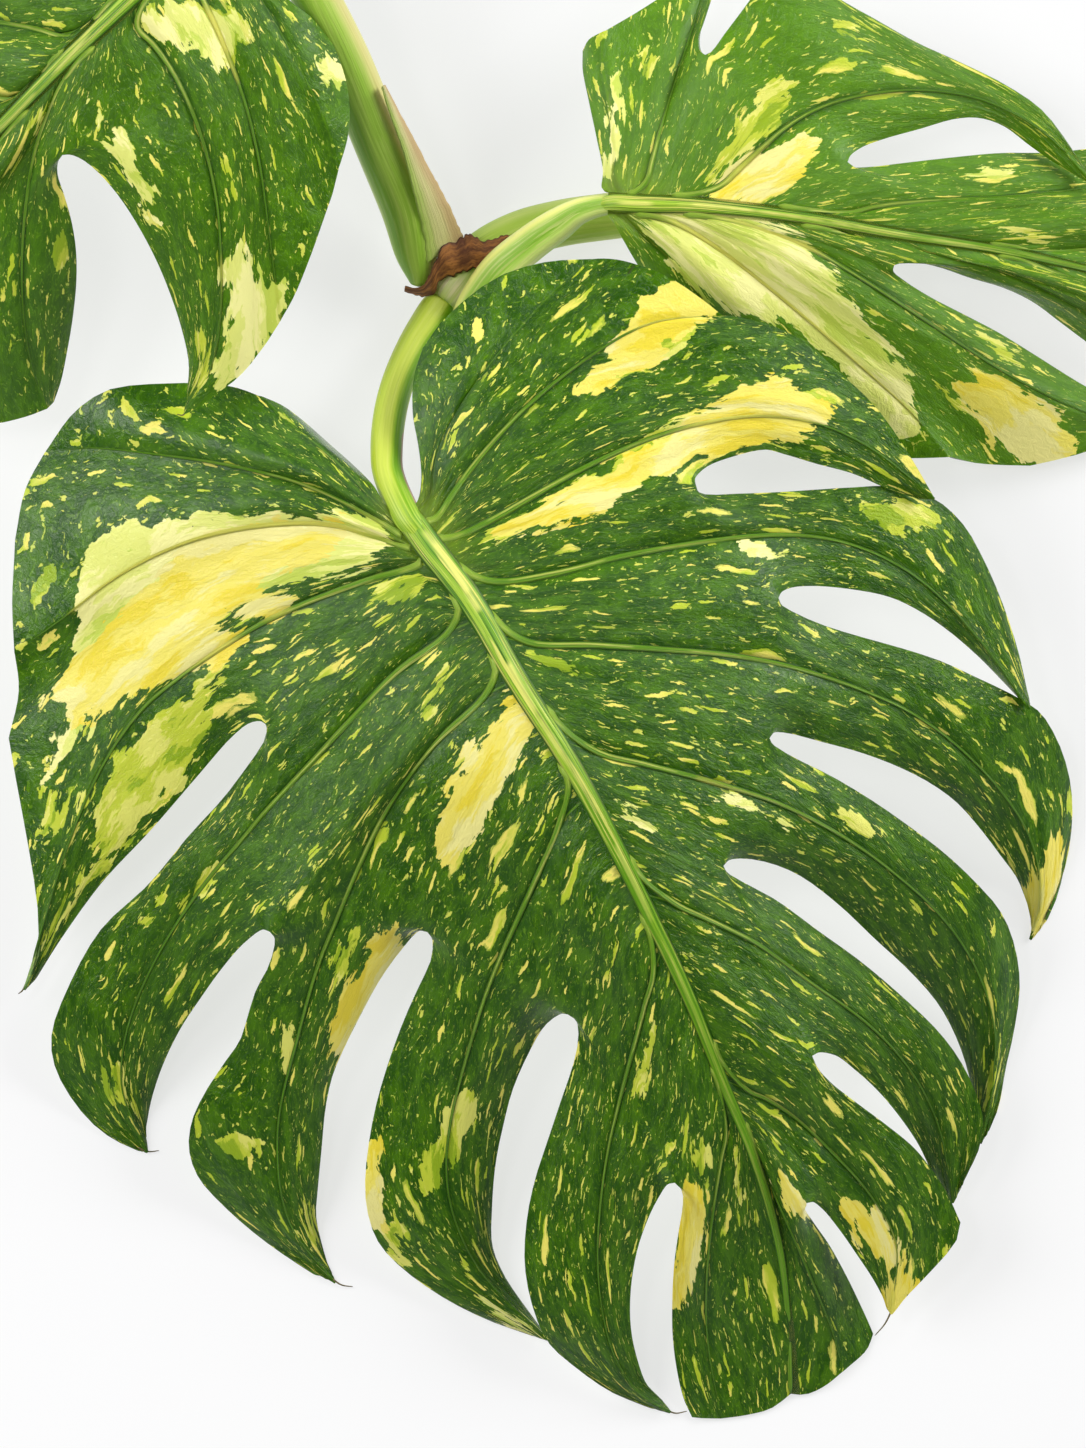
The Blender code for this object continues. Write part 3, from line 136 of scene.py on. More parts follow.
MAIN_RIGHT = [
    edge([(419, 503), (423, 480), (420, 450), (414, 415), (415, 380), (424, 350)]),
    vein(8, [(430, 500, 65), (437, 455, 65), (452, 420, 64), (475, 385, 63), (515, 335, 61),
             (555, 292, 59), (590, 261, 57)],
         [(440, 326), (468, 300), (500, 278), (545, 264)], [(615, 261)]),
    join(17, [(440, 495), (465, 455), (500, 415), (550, 360), (600, 310), (648, 270)]),
    vein(26, [(445, 508, 66), (470, 472, 66), (520, 415, 65), (580, 365, 62), (650, 325, 58),
              (722, 317, 54)],
         [(672, 281), (700, 300)], [(756, 322), (800, 341)]),
    join(36, [(452, 518), (500, 480), (560, 440), (640, 404), (720, 382), (790, 373), (848, 382)]),
    vein(48, [(460, 536, 67), (500, 517, 68), (560, 482, 67), (620, 452, 64), (680, 430, 61),
              (760, 417, 57), (825, 427, 54), (878, 454, 51), (934, 499, 47)],
         [(873, 406), (897, 438), (917, 470)]),
    slit(72, [(475, 555), (530, 530), (600, 505), (695, 487)],
         [(694, 480), (705, 468), (732, 457), (765, 450), (782, 454), (815, 464), (852, 474), (885, 488),
          (918, 498)],
         [(696, 493), (703, 496), (735, 495), (790, 492), (850, 488), (895, 487), (935, 500), (962, 524),
          (982, 558), (1002, 604), (1018, 652), (1028, 695)], -3, -4),
    vein(98, [(500, 582, 70), (540, 578, 70), (600, 562, 68), (660, 550, 63), (720, 540, 58),
              (800, 536, 51), (860, 548, 46), (920, 580, 41), (980, 640, 35), (1030, 709, 29)]),
    slit(130, [(510, 612), (580, 606), (680, 600), (777, 599)],
         [(780, 593), (790, 588), (812, 586), (850, 589), (890, 597), (920, 611), (950, 631), (980, 656),
          (1002, 678), (1020, 697)],
         [(779, 605), (790, 612), (820, 625), (860, 637), (900, 648), (940, 661), (975, 677),
          (1015, 696), (1040, 712), (1058, 740), (1070, 775), (1074, 812), (1069, 862), (1061, 892),
          (1050, 918)], -3, -5),
    vein(160, [(530, 643, 72), (600, 646, 71), (700, 653, 65), (760, 660, 59), (850, 686, 48),
               (920, 718, 38), (985, 772, 26), (1028, 830, 14), (1042, 875, 8), (1043, 908, 4),
               (1033, 941, 0.4)],
         [(1043, 931)], [(1035, 931)]),
    slit(225, [(560, 705), (630, 715), (700, 726), (768, 738)],
         [(772, 732), (785, 732), (820, 741), (860, 752), (900, 767), (930, 782), (957, 801), (980, 826),
          (1003, 856), (1021, 880), (1029, 900), (1033, 918)],
         [(770, 743), (788, 755), (830, 776), (870, 800), (905, 824), (945, 854), (978, 885),
          (1001, 912), (1015, 945), (1021, 985), (1016, 1030), (1007, 1070), (1001, 1108),
          (993, 1130)], -3, -4),
    vein(283, [(585, 749, 71), (660, 768, 68), (720, 784, 64), (780, 804, 58), (840, 835, 50),
               (885, 866, 43), (940, 915, 32), (980, 975, 20), (998, 1050, 9), (983, 1146, 0.4)]),
    slit(370, [(630, 828), (670, 845), (722, 865)],
         [(727, 859), (742, 857), (770, 862), (800, 875), (840, 905), (875, 938), (910, 970),
          (940, 1004), (958, 1036), (970, 1068), (977, 1100), (979, 1122)],
         [(724, 871), (740, 881), (775, 900), (815, 929), (860, 961), (900, 995), (940, 1034),
          (962, 1064), (977, 1095), (984, 1120), (981, 1148), (968, 1178)], -3, 2),
    vein(452, [(665, 899, 64), (700, 915, 62), (760, 945, 57), (800, 975, 51), (850, 1010, 43),
               (885, 1040, 36), (920, 1085, 27), (942, 1135, 18), (955, 1205, 9)]),
    slit(555, [(712, 1000), (750, 1018), (811, 1055)],
         [(818, 1052), (835, 1055), (858, 1072), (880, 1093), (900, 1117), (918, 1143), (932, 1170),
          (946, 1194)],
         [(814, 1063), (830, 1082), (855, 1102), (885, 1124), (912, 1146), (932, 1170), (948, 1195),
          (961, 1223)], -3, 8),
    vein(655, [(735, 1084, 44), (770, 1100, 43), (800, 1121, 40), (830, 1150, 36), (868, 1192, 31),
               (896, 1242, 25), (893, 1316, 16)],
         [(958, 1240), (930, 1274), (908, 1297)]),
    slit(700, [(757, 1130), (780, 1165), (806, 1203)],
         [(813, 1202), (823, 1209), (840, 1230), (858, 1256), (874, 1280), (885, 1300), (889, 1310)],
         [(804, 1209), (812, 1222), (828, 1245), (845, 1275), (860, 1305), (875, 1337)], -2, -2),
    vein(740, [(770, 1182, 31), (790, 1228, 26), (812, 1280, 18), (832, 1330, 9), (845, 1374, 2)],
         [(868, 1353)], [(825, 1390), (806, 1398)])]

RIGHT_MIDRIB = [
    (608, 204, 44, 3.4), (640, 205, 45, 3.2), (700, 207, 45, 2.9), (800, 218, 43, 2.5), (900, 235, 39, 2.1),
    (1000, 250, 33, 1.8), (1086, 268, 27, 1.4), (1180, 290, 19, 1.1),
    (1270, 310, 10, 0.8), (1350, 330, 1.2, 0.6)]
RIGHT_END = 640.0
RIGHT_UPPER = [
    edge([(603, 190), (604, 172), (598, 140), (590, 102), (584, 70), (584, 50)]),
    vein(8, [(612, 180, 43), (614, 150, 42), (608, 100, 37), (602, 60, 32), (604, 31, 28)],
         [(590, 39)], [(630, 16)]),
    join(18, [(628, 180), (635, 140), (645, 90), (655, 40), (662, -4)]),
    vein(30, [(645, 185, 44), (658, 140, 42), (675, 85, 36), (693, 25, 28), (716, -48, 18)],
         [(680, -18), (700, -38)]),
    slit(58, [(672, 180), (685, 140), (697, 100), (705, 56)],
         [(701, 52), (699, 40), (705, 18), (713, -10), (717, -35)],
         [(711, 53), (722, 38), (737, 18), (755, -6), (772, -24), (800, -28), (840, 0), (872, 18),
          (915, 42), (960, 62), (1005, 84), (1040, 108), (1066, 140), (1084, 168)], -3, -3),
    vein(95, [(722, 185, 44), (760, 150, 43), (800, 118, 40), (850, 98, 36), (920, 90, 32),
              (985, 100, 30), (1045, 132, 28), (1098, 186, 27)]),
    slit(150, [(772, 195), (805, 180), (847, 163)],
         [(850, 156), (862, 147), (885, 138), (920, 128), (955, 118), (980, 117), (1005, 125),
          (1030, 143), (1055, 160), (1085, 178)],
         [(850, 168), (868, 168), (900, 164), (950, 158), (1000, 153), (1050, 152), (1100, 146),
          (1150, 138), (1195, 142), (1235, 162)], -3, -4),
    vein(215, [(850, 213, 40), (880, 206, 39), (940, 200, 35), (1010, 196, 29), (1080, 188, 22),
               (1140, 180, 16), (1200, 179, 9), (1252, 187, 4)]),
    slit(325, [(960, 232), (1020, 226), (1070, 220), (1112, 216)],
         [(1118, 210), (1140, 206), (1180, 204), (1218, 202), (1243, 197)],
         [(1119, 221), (1140, 221), (1185, 215), (1230, 214), (1270, 223), (1296, 243)], -2, -2),
    vein(430, [(1065, 250, 27), (1120, 244, 22), (1180, 240, 15), (1240, 245, 8), (1308, 263, 0.4)]),
    slit(530, [(1165, 270), (1195, 266), (1218, 265)],
         [(1224, 260), (1245, 258), (1270, 261), (1293, 265)],
         [(1224, 270), (1245, 272), (1275, 279), (1305, 293), (1332, 313)], -1, -1),
    vein(590, [(1225, 286, 14), (1262, 293, 10), (1300, 305, 6), (1343, 325, 2)])]
RIGHT_LOWER = [
    edge([(614, 224), (622, 238), (633, 256), (646, 276), (663, 302), (685, 332)]),
    vein(14, [(636, 228, 44), (668, 256, 41), (705, 300, 36), (745, 350, 30), (775, 412, 22)],
         [(712, 362), (742, 390)], [(800, 430)]),
    join(26, [(652, 226), (690, 258), (740, 312), (795, 370), (835, 446)]),
    vein(40, [(672, 222, 45), (720, 250, 42), (790, 305, 36), (860, 365, 29), (915, 415, 22),
              (950, 456, 17)],
         [(880, 456), (915, 457)], [(978, 462)]),
    join(70, [(705, 222), (770, 252), (850, 308), (930, 368), (990, 420), (1032, 464)]),
    vein(110, [(745, 225, 44), (800, 244, 42), (860, 278, 39), (930, 323, 33), (1000, 368, 25),
               (1070, 404, 17), (1130, 424, 9), (1188, 434, 0.4)],
         [(1075, 454), (1120, 440), (1155, 434)]),
    slit(180, [(800, 232), (840, 245), (894, 265)],
         [(893, 271), (903, 280), (930, 297), (965, 315), (1000, 333), (1040, 357), (1086, 385),
          (1130, 408), (1170, 426)],
         [(901, 262), (915, 261), (940, 266), (970, 276), (1005, 286), (1035, 300), (1060, 318),
          (1090, 340), (1128, 366), (1165, 390)], -3, -3),
    vein(240, [(860, 237, 40), (920, 248, 38), (980, 263, 34), (1040, 286, 28), (1090, 313, 21),
               (1140, 348, 13), (1190, 392, 4)],
         [], [(1192, 372)]),
    slit(345, [(960, 257), (1010, 270), (1070, 287), (1120, 306)],
         [(1118, 312), (1132, 323), (1153, 339), (1174, 356), (1188, 372)],
         [(1128, 306), (1150, 313), (1185, 331), (1213, 352), (1238, 376)], -2, -2),
    vein(440, [(1060, 274, 29), (1110, 287, 24), (1160, 305, 18), (1205, 330, 11), (1238, 358, 6),
               (1264, 396, 0.4)],
         [], [(1268, 385)]),
    slit(530, [(1150, 296), (1180, 306), (1208, 318)],
         [(1208, 324), (1222, 336), (1242, 354), (1262, 374)],
         [(1216, 318), (1240, 326), (1272, 338), (1305, 346), (1330, 345)], -1, -1),
    vein(590, [(1225, 306, 13), (1262, 317, 9), (1300, 328, 5), (1340, 336, 2)])]

LEFT_MIDRIB = [
    (222, -78, 90, 3.8), (180, -40, 91, 3.7), (138, 1, 90, 3.5), (100, 37, 88, 3.2), (60, 75, 85, 2.9),
    (0, 135, 77, 2.5), (-90, 218, 59, 2.0), (-180, 292, 35, 1.4), (-230, 332, 18, 1.0), (-268, 362, 1.2, 0.6)]
LEFT_END = 560.0
LEFT_OUTER = [
    edge([(216, -98), (212, -120), (200, -142)]),
    vein(8, [(200, -100, 89), (182, -128, 85), (160, -162, 78), (138, -196, 68)],
         [(184, -168), (163, -185)], [(112, -203)]),
    join(17, [(186, -102), (155, -132), (115, -165), (80, -203)]),
    vein(28, [(168, -94, 90), (120, -117, 85), (55, -143, 74), (0, -166, 62), (-45, -188, 50)],
         [(35, -202), (-5, -198)], [(-70, -175)]),
    join(48, [(148, -72), (95, -88), (20, -108), (-45, -132), (-92, -160)]),
    vein(75, [(130, -46, 90), (80, -58, 86), (20, -74, 77), (-50, -97, 63), (-115, -120, 45),
              (-172, -145, 27)],
         [(-125, -152), (-150, -150)]),
    slit(115, [(100, -16), (55, -21), (0, -27), (-42, -31)],
         [(-47, -37), (-62, -44), (-100, -62), (-140, -92), (-162, -124)],
         [(-49, -27), (-68, -30), (-110, -36), (-155, -50), (-195, -60), (-222, -55)], -3, -3),
    vein(160, [(80, 42, 86), (40, 34, 81), (0, 26, 73), (-70, 8, 57), (-135, -12, 38), (-185, -30, 22),
               (-228, -42, 9)],
         [], [(-228, -25)]),
    slit(205, [(60, 62), (10, 58), (-40, 54), (-82, 54)],
         [(-90, 48), (-105, 43), (-145, 30), (-185, 10), (-218, -10)],
         [(-90, 59), (-106, 60), (-150, 53), (-195, 42), (-238, 36), (-258, 44)], -3, -3),
    vein(245, [(25, 102, 79), (-10, 100, 73), (-70, 98, 59), (-135, 90, 41), (-200, 78, 21),
               (-268, 62, 3)],
         [], [(-266, 80)]),
    slit(310, [(-40, 152), (-75, 150), (-110, 149), (-138, 150)],
         [(-145, 145), (-160, 140), (-195, 128), (-235, 108), (-258, 95)],
         [(-146, 154), (-162, 156), (-200, 156), (-245, 158), (-275, 172), (-290, 205), (-292, 250)], -3, -3),
    vein(420, [(-102, 203, 57), (-130, 209, 50), (-165, 222, 40), (-215, 245, 26), (-262, 282, 10)],
         [(-280, 275)], [(-275, 310), (-275, 340)])]
LEFT_INNER = [
    edge([(240, -62), (262, -30), (286, 2), (313, 24), (334, 50)]),
    vein(12, [(228, -50, 89), (248, -20, 87), (272, 20, 84), (300, 70, 80), (326, 125, 76),
              (340, 170, 72)],
         [(345, 80), (350, 112), (348, 142)], [(334, 195)]),
    join(30, [(212, -40), (232, -5), (255, 45), (278, 105), (300, 165), (322, 228)]),
    vein(60, [(192, -20, 90), (208, 10, 89), (228, 55, 87), (248, 110, 83), (262, 170, 79),
              (270, 230, 73), (282, 322, 62)],
         [(310, 262), (297, 294)], [(270, 340)]),
    join(95, [(160, 10), (185, 45), (212, 95), (232, 155), (243, 215), (248, 285), (252, 364)]),
    vein(125, [(140, 30, 88), (165, 60, 87), (188, 100, 86), (207, 150, 83), (219, 205, 79),
               (223, 260, 74), (222, 320, 67), (212, 372, 60), (186, 415, 54)],
         [(238, 379), (218, 394), (202, 406)]),
    slit(178, [(85, 90), (72, 125), (66, 159)],
         [(73, 158), (86, 163), (103, 177), (122, 199), (141, 228), (159, 262), (173, 296), (184, 330),
          (191, 365), (189, 398)],
         [(61, 164), (60, 177), (66, 196), (73, 222), (77, 250), (77, 280), (73, 315), (67, 348),
          (60, 380), (52, 401)], -3, -3),
    vein(225, [(54, 112, 81), (40, 152, 77), (29, 208, 69), (24, 270, 59), (26, 330, 47), (34, 375, 37),
               (46, 408, 30)],
         [], [(24, 416), (-12, 423)]),
    slit(270, [(22, 146), (-2, 186), (-28, 220), (-46, 240)],
         [(-41, 246), (-38, 260), (-42, 300), (-48, 350), (-52, 395), (-50, 417)],
         [(-53, 245), (-62, 262), (-78, 305), (-94, 352), (-108, 395), (-116, 425)], -3, -3),
    vein(315, [(-16, 178, 71), (-45, 222, 61), (-75, 272, 48), (-100, 325, 33), (-118, 378, 18),
               (-130, 432, 6)],
         [], [(-148, 430), (-170, 418)]),
    slit(400, [(-85, 238), (-114, 268), (-145, 296)],
         [(-142, 303), (-146, 322), (-157, 350), (-170, 378), (-182, 402)],
         [(-152, 299), (-166, 318), (-188, 345), (-212, 372), (-232, 392)], -2, -2),
    vein(465, [(-140, 280, 40), (-170, 313, 29), (-205, 350, 14), (-243, 384, 2)],
         [], [(-258, 374)])]

LEAVES = {
    "leaf_main": (MAIN_MIDRIB, MAIN_LEFT, MAIN_RIGHT, MAIN_END, 2.2),
    "leaf_right": (RIGHT_MIDRIB, RIGHT_LOWER, RIGHT_UPPER, RIGHT_END, 1.7),
    "leaf_left": (LEFT_MIDRIB, LEFT_OUTER, LEFT_INNER, LEFT_END, 1.9)}

# Each stem or stalk point is x, y, height in mm and radius in mm.
STEM_PATH = [
    (690, 214, 6.7, 7.2), (640, 211, 6.7, 7.3), (600, 215, 6.6, 7.3), (560, 221, 6.6, 7.3),
    (520, 232, 6.6, 7.4),
    (487, 250, 6.7, 7.6), (464, 272, 6.8, 7.5), (449, 291, 6.9, 6.9), (442, 302, 7.0, 6.0)]
MAIN_STALK = [
    (428, 322, 11.5, 5.7), (413, 347, 20, 5.3), (398, 382, 31, 5.1), (390, 415, 41, 5.1), (387, 450, 51, 5.0),
    (389, 475, 56, 4.8)]
LEFT_STALK = [
    (424, 262, 13, 8.6), (407, 208, 22, 8.2), (378, 140, 37, 7.9), (345, 60, 55, 7.8), (316, 0, 68.5, 7.3),
    (290, -50, 77, 6.6), (264, -84, 81.5, 5.2)]
RIGHT_STALK = [
    (464, 319, 15.1, 4.6), (476, 299, 17.5, 5.4), (498, 270, 21.5, 5.9), (530, 243, 25.5, 5.7),
    (558, 224, 31, 5.2), (580, 211, 36.5, 4.0)]

# Grid of the fine blades: rows inside the slits and beyond them, steps on a rim, and columns from a border
# to a vein.
INNER_ROWS = 12
OUTER_ROWS = 30
RIM_STEPS = 16
COLUMN_SHARES = 1.0 - np.linspace(1.0, 0.0, 11) ** 1.6
# Plan length that a turn of one radian counts for when points are spaced.
TURN_SHARE = 45.0
# A vein's inner rows end this share of the way between the ends of the slits beside it.
MOUTH_SHARE = 0.35
# Plan length past a leaf's last station at which its two sides start to meet on the midrib.
END_AHEAD = 12.0
# Shares of the inner rows in which a border leaves the midrib's height and the base lobe comes free, and
# share of the outer rows in which a lobe beside a slit comes free.
RISE_ROWS = 0.7
BASE_ROWS = 0.66
FREE_ROWS = 0.25
# Least height of a blade's middle and least thickness in mm, and least plan area of a triangle in square mm.
LOWEST_MIDDLE = 0.35
LEAST_THICKNESS = 0.7
THINNEST_TRIANGLE = 0.0008
# Relief of a blade in mm: the groove beside a side vein with its width, the quilting, and the long waves.
GROOVE_DEPTH = 0.8
GROOVE_WIDTH = 2.6
QUILT_HEIGHT = 0.22
WAVE_HEIGHT = 0.5
# What the paint reads far from a side vein or outside every patch, in mm.
FAR_FROM_VEIN = 9.0
FAR_OUTSIDE = -40.0
# Each leaf's paint numbers are moved on by these, so that no two leaves have the same marks.
BLADE_PAINT_SHIFT = 300.0
RIB_PAINT_SHIFT = 500.0
# Side veins leave the midrib in a hook: its plan length, the most of the way from the vein before that it
# takes, and the least station where it starts.
HOOK_LENGTH = 46.0
HOOK_SHARE = 0.5
LEAST_HOOK = 12.0
# Side veins: radius in mm and its share at the tip, sinking at the midrib in mm, share of their line that
# they cover, rings, sides, and height against width.
VEIN_RADIUS = 1.55
VEIN_TIP = 0.14
VEIN_SINK = 0.45
VEIN_REACH = 0.97
VEIN_RINGS = 70
VEIN_SIDES = 12
VEIN_FLATNESS = 0.75
# Midribs: width against the table's, rings, sides, height against width, depth of the grooves as a share of
# the radius, and rise to the tip in mm.
RIB_WIDENING = {"leaf_main": 1.1, "leaf_left": 0.8, "leaf_right": 0.74}
MIDRIB_RINGS = 150
MIDRIB_SIDES = 28
MIDRIB_FLATNESS = 0.52
MIDRIB_GROOVES = 0.035
RIB_TIP_RISE = 0.4
# Stalks: length of a rounded end and where it starts, as shares of the radius, place and width of the channel
# in degrees, number of grooves round, and how steeply a dry place ends.
END_ROUNDING = 0.6
END_START = 0.05
CHANNEL_AT = 90.0
CHANNEL_WIDTH = 30.0
GROOVES_ROUND = 7.0
DRY_FADE = 12.0
# A stalk's last points: mm along the midrib, mm under its middle, and radius as a share of the midrib's half
# width.
STALK_TO_MIDRIB = [(1.5, 1.5, 1.06), (7.0, 1.6, 0.95), (14.0, 3.2, 0.7), (22.0, 5.0, 0.5)]
# Paint length round a stalk.
ROUND_SPAN = 14.0
# The two dry sheaths: thickness, bulge and ripple in mm, and steps across.
SHEATH_THICKNESS = 0.6
SHEATH_CROWN = 0.8
SHEATH_RIPPLE = 0.10
SHEATH_STEPS = 12
# The stem's end and the feet of the stalks in the node, in plan units and mm.
NODE_END = [(436, 309, 8.2, 5.6)]
MAIN_FOOT = [(445, 296, 7.6, 5.0), (437, 308, 9.0, 5.7)]
LEFT_FOOT = [(419, 284, 9.5, 2.4), (419, 271, 12.0, 4.6), (416, 251, 15.0, 6.7)]
RIGHT_FOOT = [(457, 326, 13.5, 3.6)]


def to_mm(points):
    """Plan units and mm heights to mm in the frame."""
    p = np.asarray(points, float)
    x = (p[:, 0] - PLAN_ORIGIN[0]) * PLAN_UNIT
    y = (PLAN_ORIGIN[1] - p[:, 1]) * PLAN_UNIT
    return np.column_stack([x, y, p[:, 2]])


def between(a, b, ta, tb, t):
    """Straight blend from a at ta to b at tb."""
    return ((tb - t) * a + (t - ta) * b) / (tb - ta)


def smooth_line(points, steps=14):
    """Many points along a smooth line through the given ones."""
    p = np.asarray(points, float)
    if len(p) < 3:
        share = np.linspace(0.0, 1.0, steps + 1)[:, None]
        return p[0] * (1.0 - share) + p[-1] * share
    p = np.vstack([2 * p[0] - p[1], p, 2 * p[-1] - p[-2]])
    knot = np.concatenate([[0.0], np.cumsum(np.sqrt(np.linalg.norm(np.diff(p[:, :2], axis=0), axis=1)))])
    made = []
    for i in range(1, len(p) - 2):
        t0, t1, t2, t3 = knot[i - 1:i + 3]
        t = np.linspace(t1, t2, steps, endpoint=False)[:, None]
        a1 = between(p[i - 1], p[i], t0, t1, t)
        a2 = between(p[i], p[i + 1], t1, t2, t)
        a3 = between(p[i + 1], p[i + 2], t2, t3, t)
        b1 = between(a1, a2, t0, t2, t)
        b2 = between(a2, a3, t1, t3, t)
        made.append(between(b1, b2, t1, t2, t))
    made.append(p[-2][None, :])
    return np.vstack(made)


def spaced(line, count, turn_share=0.0):
    """count + 1 points along a line, closer together where it turns."""
    step = np.diff(line[:, :2], axis=0)
    length = np.hypot(step[:, 0], step[:, 1])
    heading = np.unwrap(np.arctan2(step[:, 1], step[:, 0]))
    turn = np.abs(np.diff(heading, prepend=heading[0]))
    weight = np.concatenate([[0.0], np.cumsum(length + turn_share * turn)])
    wanted = np.linspace(0.0, weight[-1], count + 1)
    return np.column_stack([np.interp(wanted, weight, line[:, k]) for k in range(line.shape[1])])


def ease(share):
    """Smooth step from 0 to 1."""
    share = np.clip(share, 0.0, 1.0)
    return share * share * (3.0 - 2.0 * share)


class Midrib:
    """The middle line of a leaf, read by its station: the plan length from the leaf base."""

    def __init__(self, points):
        self.line = smooth_line(points, 24)
        step = np.linalg.norm(np.diff(self.line[:, :2], axis=0), axis=1)
        self.station = np.concatenate([[0.0], np.cumsum(step)])

    def at(self, station):
        return np.array([np.interp(station, self.station, self.line[:, k]) for k in range(4)])

    def edge(self, station, side):
        """The point on the midrib's edge: side is 1 or -1."""
        here = self.at(station)
        ahead = self.at(station + 4.0)[:2] - self.at(max(station - 4.0, 0.0))[:2]
        ahead = ahead / np.linalg.norm(ahead)
        out = side * here[3] / PLAN_UNIT
        return np.array([here[0] - ahead[1] * out, here[1] + ahead[0] * out, here[2]])


def leaf_side(rib, side_table, side, end_at, inner, outer, half):
    """Border and vein lines of one side of a leaf, each with its rows from midrib to margin."""
    last = inner + outer
    veins = []
    for item in side_table:
        if item["kind"] == "vein":
            start = rib.edge(item["at"], side)
            veins.append({"item": item, "dense": smooth_line(np.vstack([start[None, :], item["line"]]))})
    borders = []
    for item in side_table:
        if item["kind"] == "vein":
            continue
        start = rib.edge(item["at"], side)[:2]
        dense = smooth_line(np.vstack([start[None, :], item["line"]]))
        borders.append({"item": item, "dense": dense})
    end_line = np.array([rib.at(s)[:3] for s in np.linspace(end_at + END_AHEAD, rib.station[-1], 60)])
    borders.append({"item": {"kind": "end", "at": end_at}, "dense": end_line})
    # Rows of each border, in plan, with one row set on each side of a slit.
    for border in borders:
        item = border["item"]
        kind = item["kind"]
        if kind == "slit":
            near = smooth_line(np.vstack([border["dense"][-1:], item["near"]]))
            far = smooth_line(np.vstack([border["dense"][-1:], item["far"]]))
            inside = spaced(border["dense"], inner)
            border["near"] = np.vstack([inside, spaced(near, outer, TURN_SHARE)[1:]])
            border["far"] = np.vstack([inside, spaced(far, outer, TURN_SHARE)[1:]])
            border["mouth"] = border["dense"][-1]
        else:
            rows = spaced(border["dense"], last, TURN_SHARE if kind == "edge" else 0.0)
            border["near"] = rows
            border["far"] = rows
            border["mouth"] = rows[inner][:2]
    # Rows of each vein: the inner rows end level with the slits beside it.
    for k, vein_line in enumerate(veins):
        dense = vein_line["dense"]
        mouths = [borders[n]["mouth"][:2] for n in (k, k + 1)]
        level = [int(np.argmin(np.linalg.norm(dense[:, :2] - mouth, axis=1))) for mouth in mouths]
        level = min(level) + MOUTH_SHARE * (max(level) - min(level))
        level = int(min(max(level, len(dense) // 6), (3 * len(dense)) // 4))
        first = spaced(dense[:level + 1], inner)
        second = spaced(dense[level:], outer)
        vein_line["rows"] = np.vstack([first, second[1:]])
    # Heights of the borders.
    row = np.arange(last + 1)
    crest = CREST * np.sin(np.pi * np.clip(row / (inner * 2.0), 0.0, 1.0))
    for k, border in enumerate(borders):
        item = border["item"]
        kind = item["kind"]
        if kind == "end":
            along = np.linalg.norm(end_line[:, :2] - end_line[0, :2], axis=1)
            reach = np.linalg.norm(border["near"][:, :2] - end_line[0, :2], axis=1)
            height = np.interp(reach, along, end_line[:, 2])
            border["near_z"] = height
            border["far_z"] = height
            continue
        after = veins[k]["rows"][:, 2]
        before = veins[k - 1]["rows"][:, 2] if k > 0 else after
        rib_z = rib.at(item["at"])[2]
        shared = 0.5 * (before + after) + crest
        first_rows = ease(row / max(1.0, inner * RISE_ROWS))
        shared = rib_z * (1.0 - first_rows) + shared * first_rows
        if kind == "edge":
            border["near_z"] = after + item["lift"] * ease(row / last)
            border["near_z"][0] = rib_z
            border["far_z"] = border["near_z"]
        elif kind == "join":
            border["near_z"] = shared
            border["far_z"] = shared
        else:
            share = ease((row - inner) / outer)
            for name, owner in (("near", before), ("far", after)):
                step = shared[inner] - owner[inner]
                level = owner + (1.0 - share) * step + share * item[name + "_lift"]
                border[name + "_z"] = np.where(row <= inner, shared, level)
    # Rims between the ends of borders and veins.
    for k, vein_line in enumerate(veins):
        item = vein_line["item"]
        tip = vein_line["rows"][-1]
        start = np.append(borders[k]["far"][-1][:2], borders[k]["far_z"][-1])
        stop = np.append(borders[k + 1]["near"][-1][:2], borders[k + 1]["near_z"][-1])
        rims = (("rim_before", (start, tip), item["before"]), ("rim_after", (tip, stop), item["after"]))
        for name, ends, points in rims:
            inside = [np.array([p[0], p[1], 0.0]) for p in points]
            line = smooth_line(np.vstack([ends[0], *inside, ends[1]]))
            rim = spaced(line, half)
            rim[:, 2] = np.linspace(ends[0][2], ends[1][2], half + 1)
            vein_line[name] = rim
    return borders, veins


def half_lobe(rib, side, border_rows, vein_rows, stations, rim, inner, outer, shares, split, on_midrib):
    """Points of the sheet between a border and a vein: [column from border to vein][row from 1]."""
    last = inner + outer
    points = np.zeros((len(shares), last + 1, 3))
    row = np.arange(last + 1)
    free = split * ease((row - inner + 1.0) / (outer * FREE_ROWS))
    if split > 1.5:
        free = ease(row / (inner * BASE_ROWS))
    width = np.linalg.norm(border_rows[:, :2] - vein_rows[:, :2], axis=1) * PLAN_UNIT
    near_rib = (1.0 - row / last) ** 4
    near_rim = (row / last) ** 3
    for j, t in enumerate(shares):
        flat = (1.0 - t) * border_rows + t * vein_rows
        rib_point = rib.edge((1.0 - t) * stations[0] + t * stations[1], side)
        if j == 0 and on_midrib:
            rib_point = flat[0].copy()
        rim_point = np.array([np.interp(t, np.linspace(0.0, 1.0, len(rim)), rim[:, k]) for k in range(3)])
        flat[:, :2] += near_rib[:, None] * (rib_point - flat[0])[:2]
        flat[:, :2] += near_rim[:, None] * (rim_point - flat[-1])[:2]
        mix = (1.0 - free) * t * t + free * t
        height = border_rows[:, 2] + (vein_rows[:, 2] - border_rows[:, 2]) * mix
        height += free * LOBE_ARCH * width * 4.0 * t * (1.0 - t) * (1.0 - near_rim)
        height += near_rib * (rib_point[2] - height[0])
        flat[:, 2] = height
        points[j] = flat
    return points


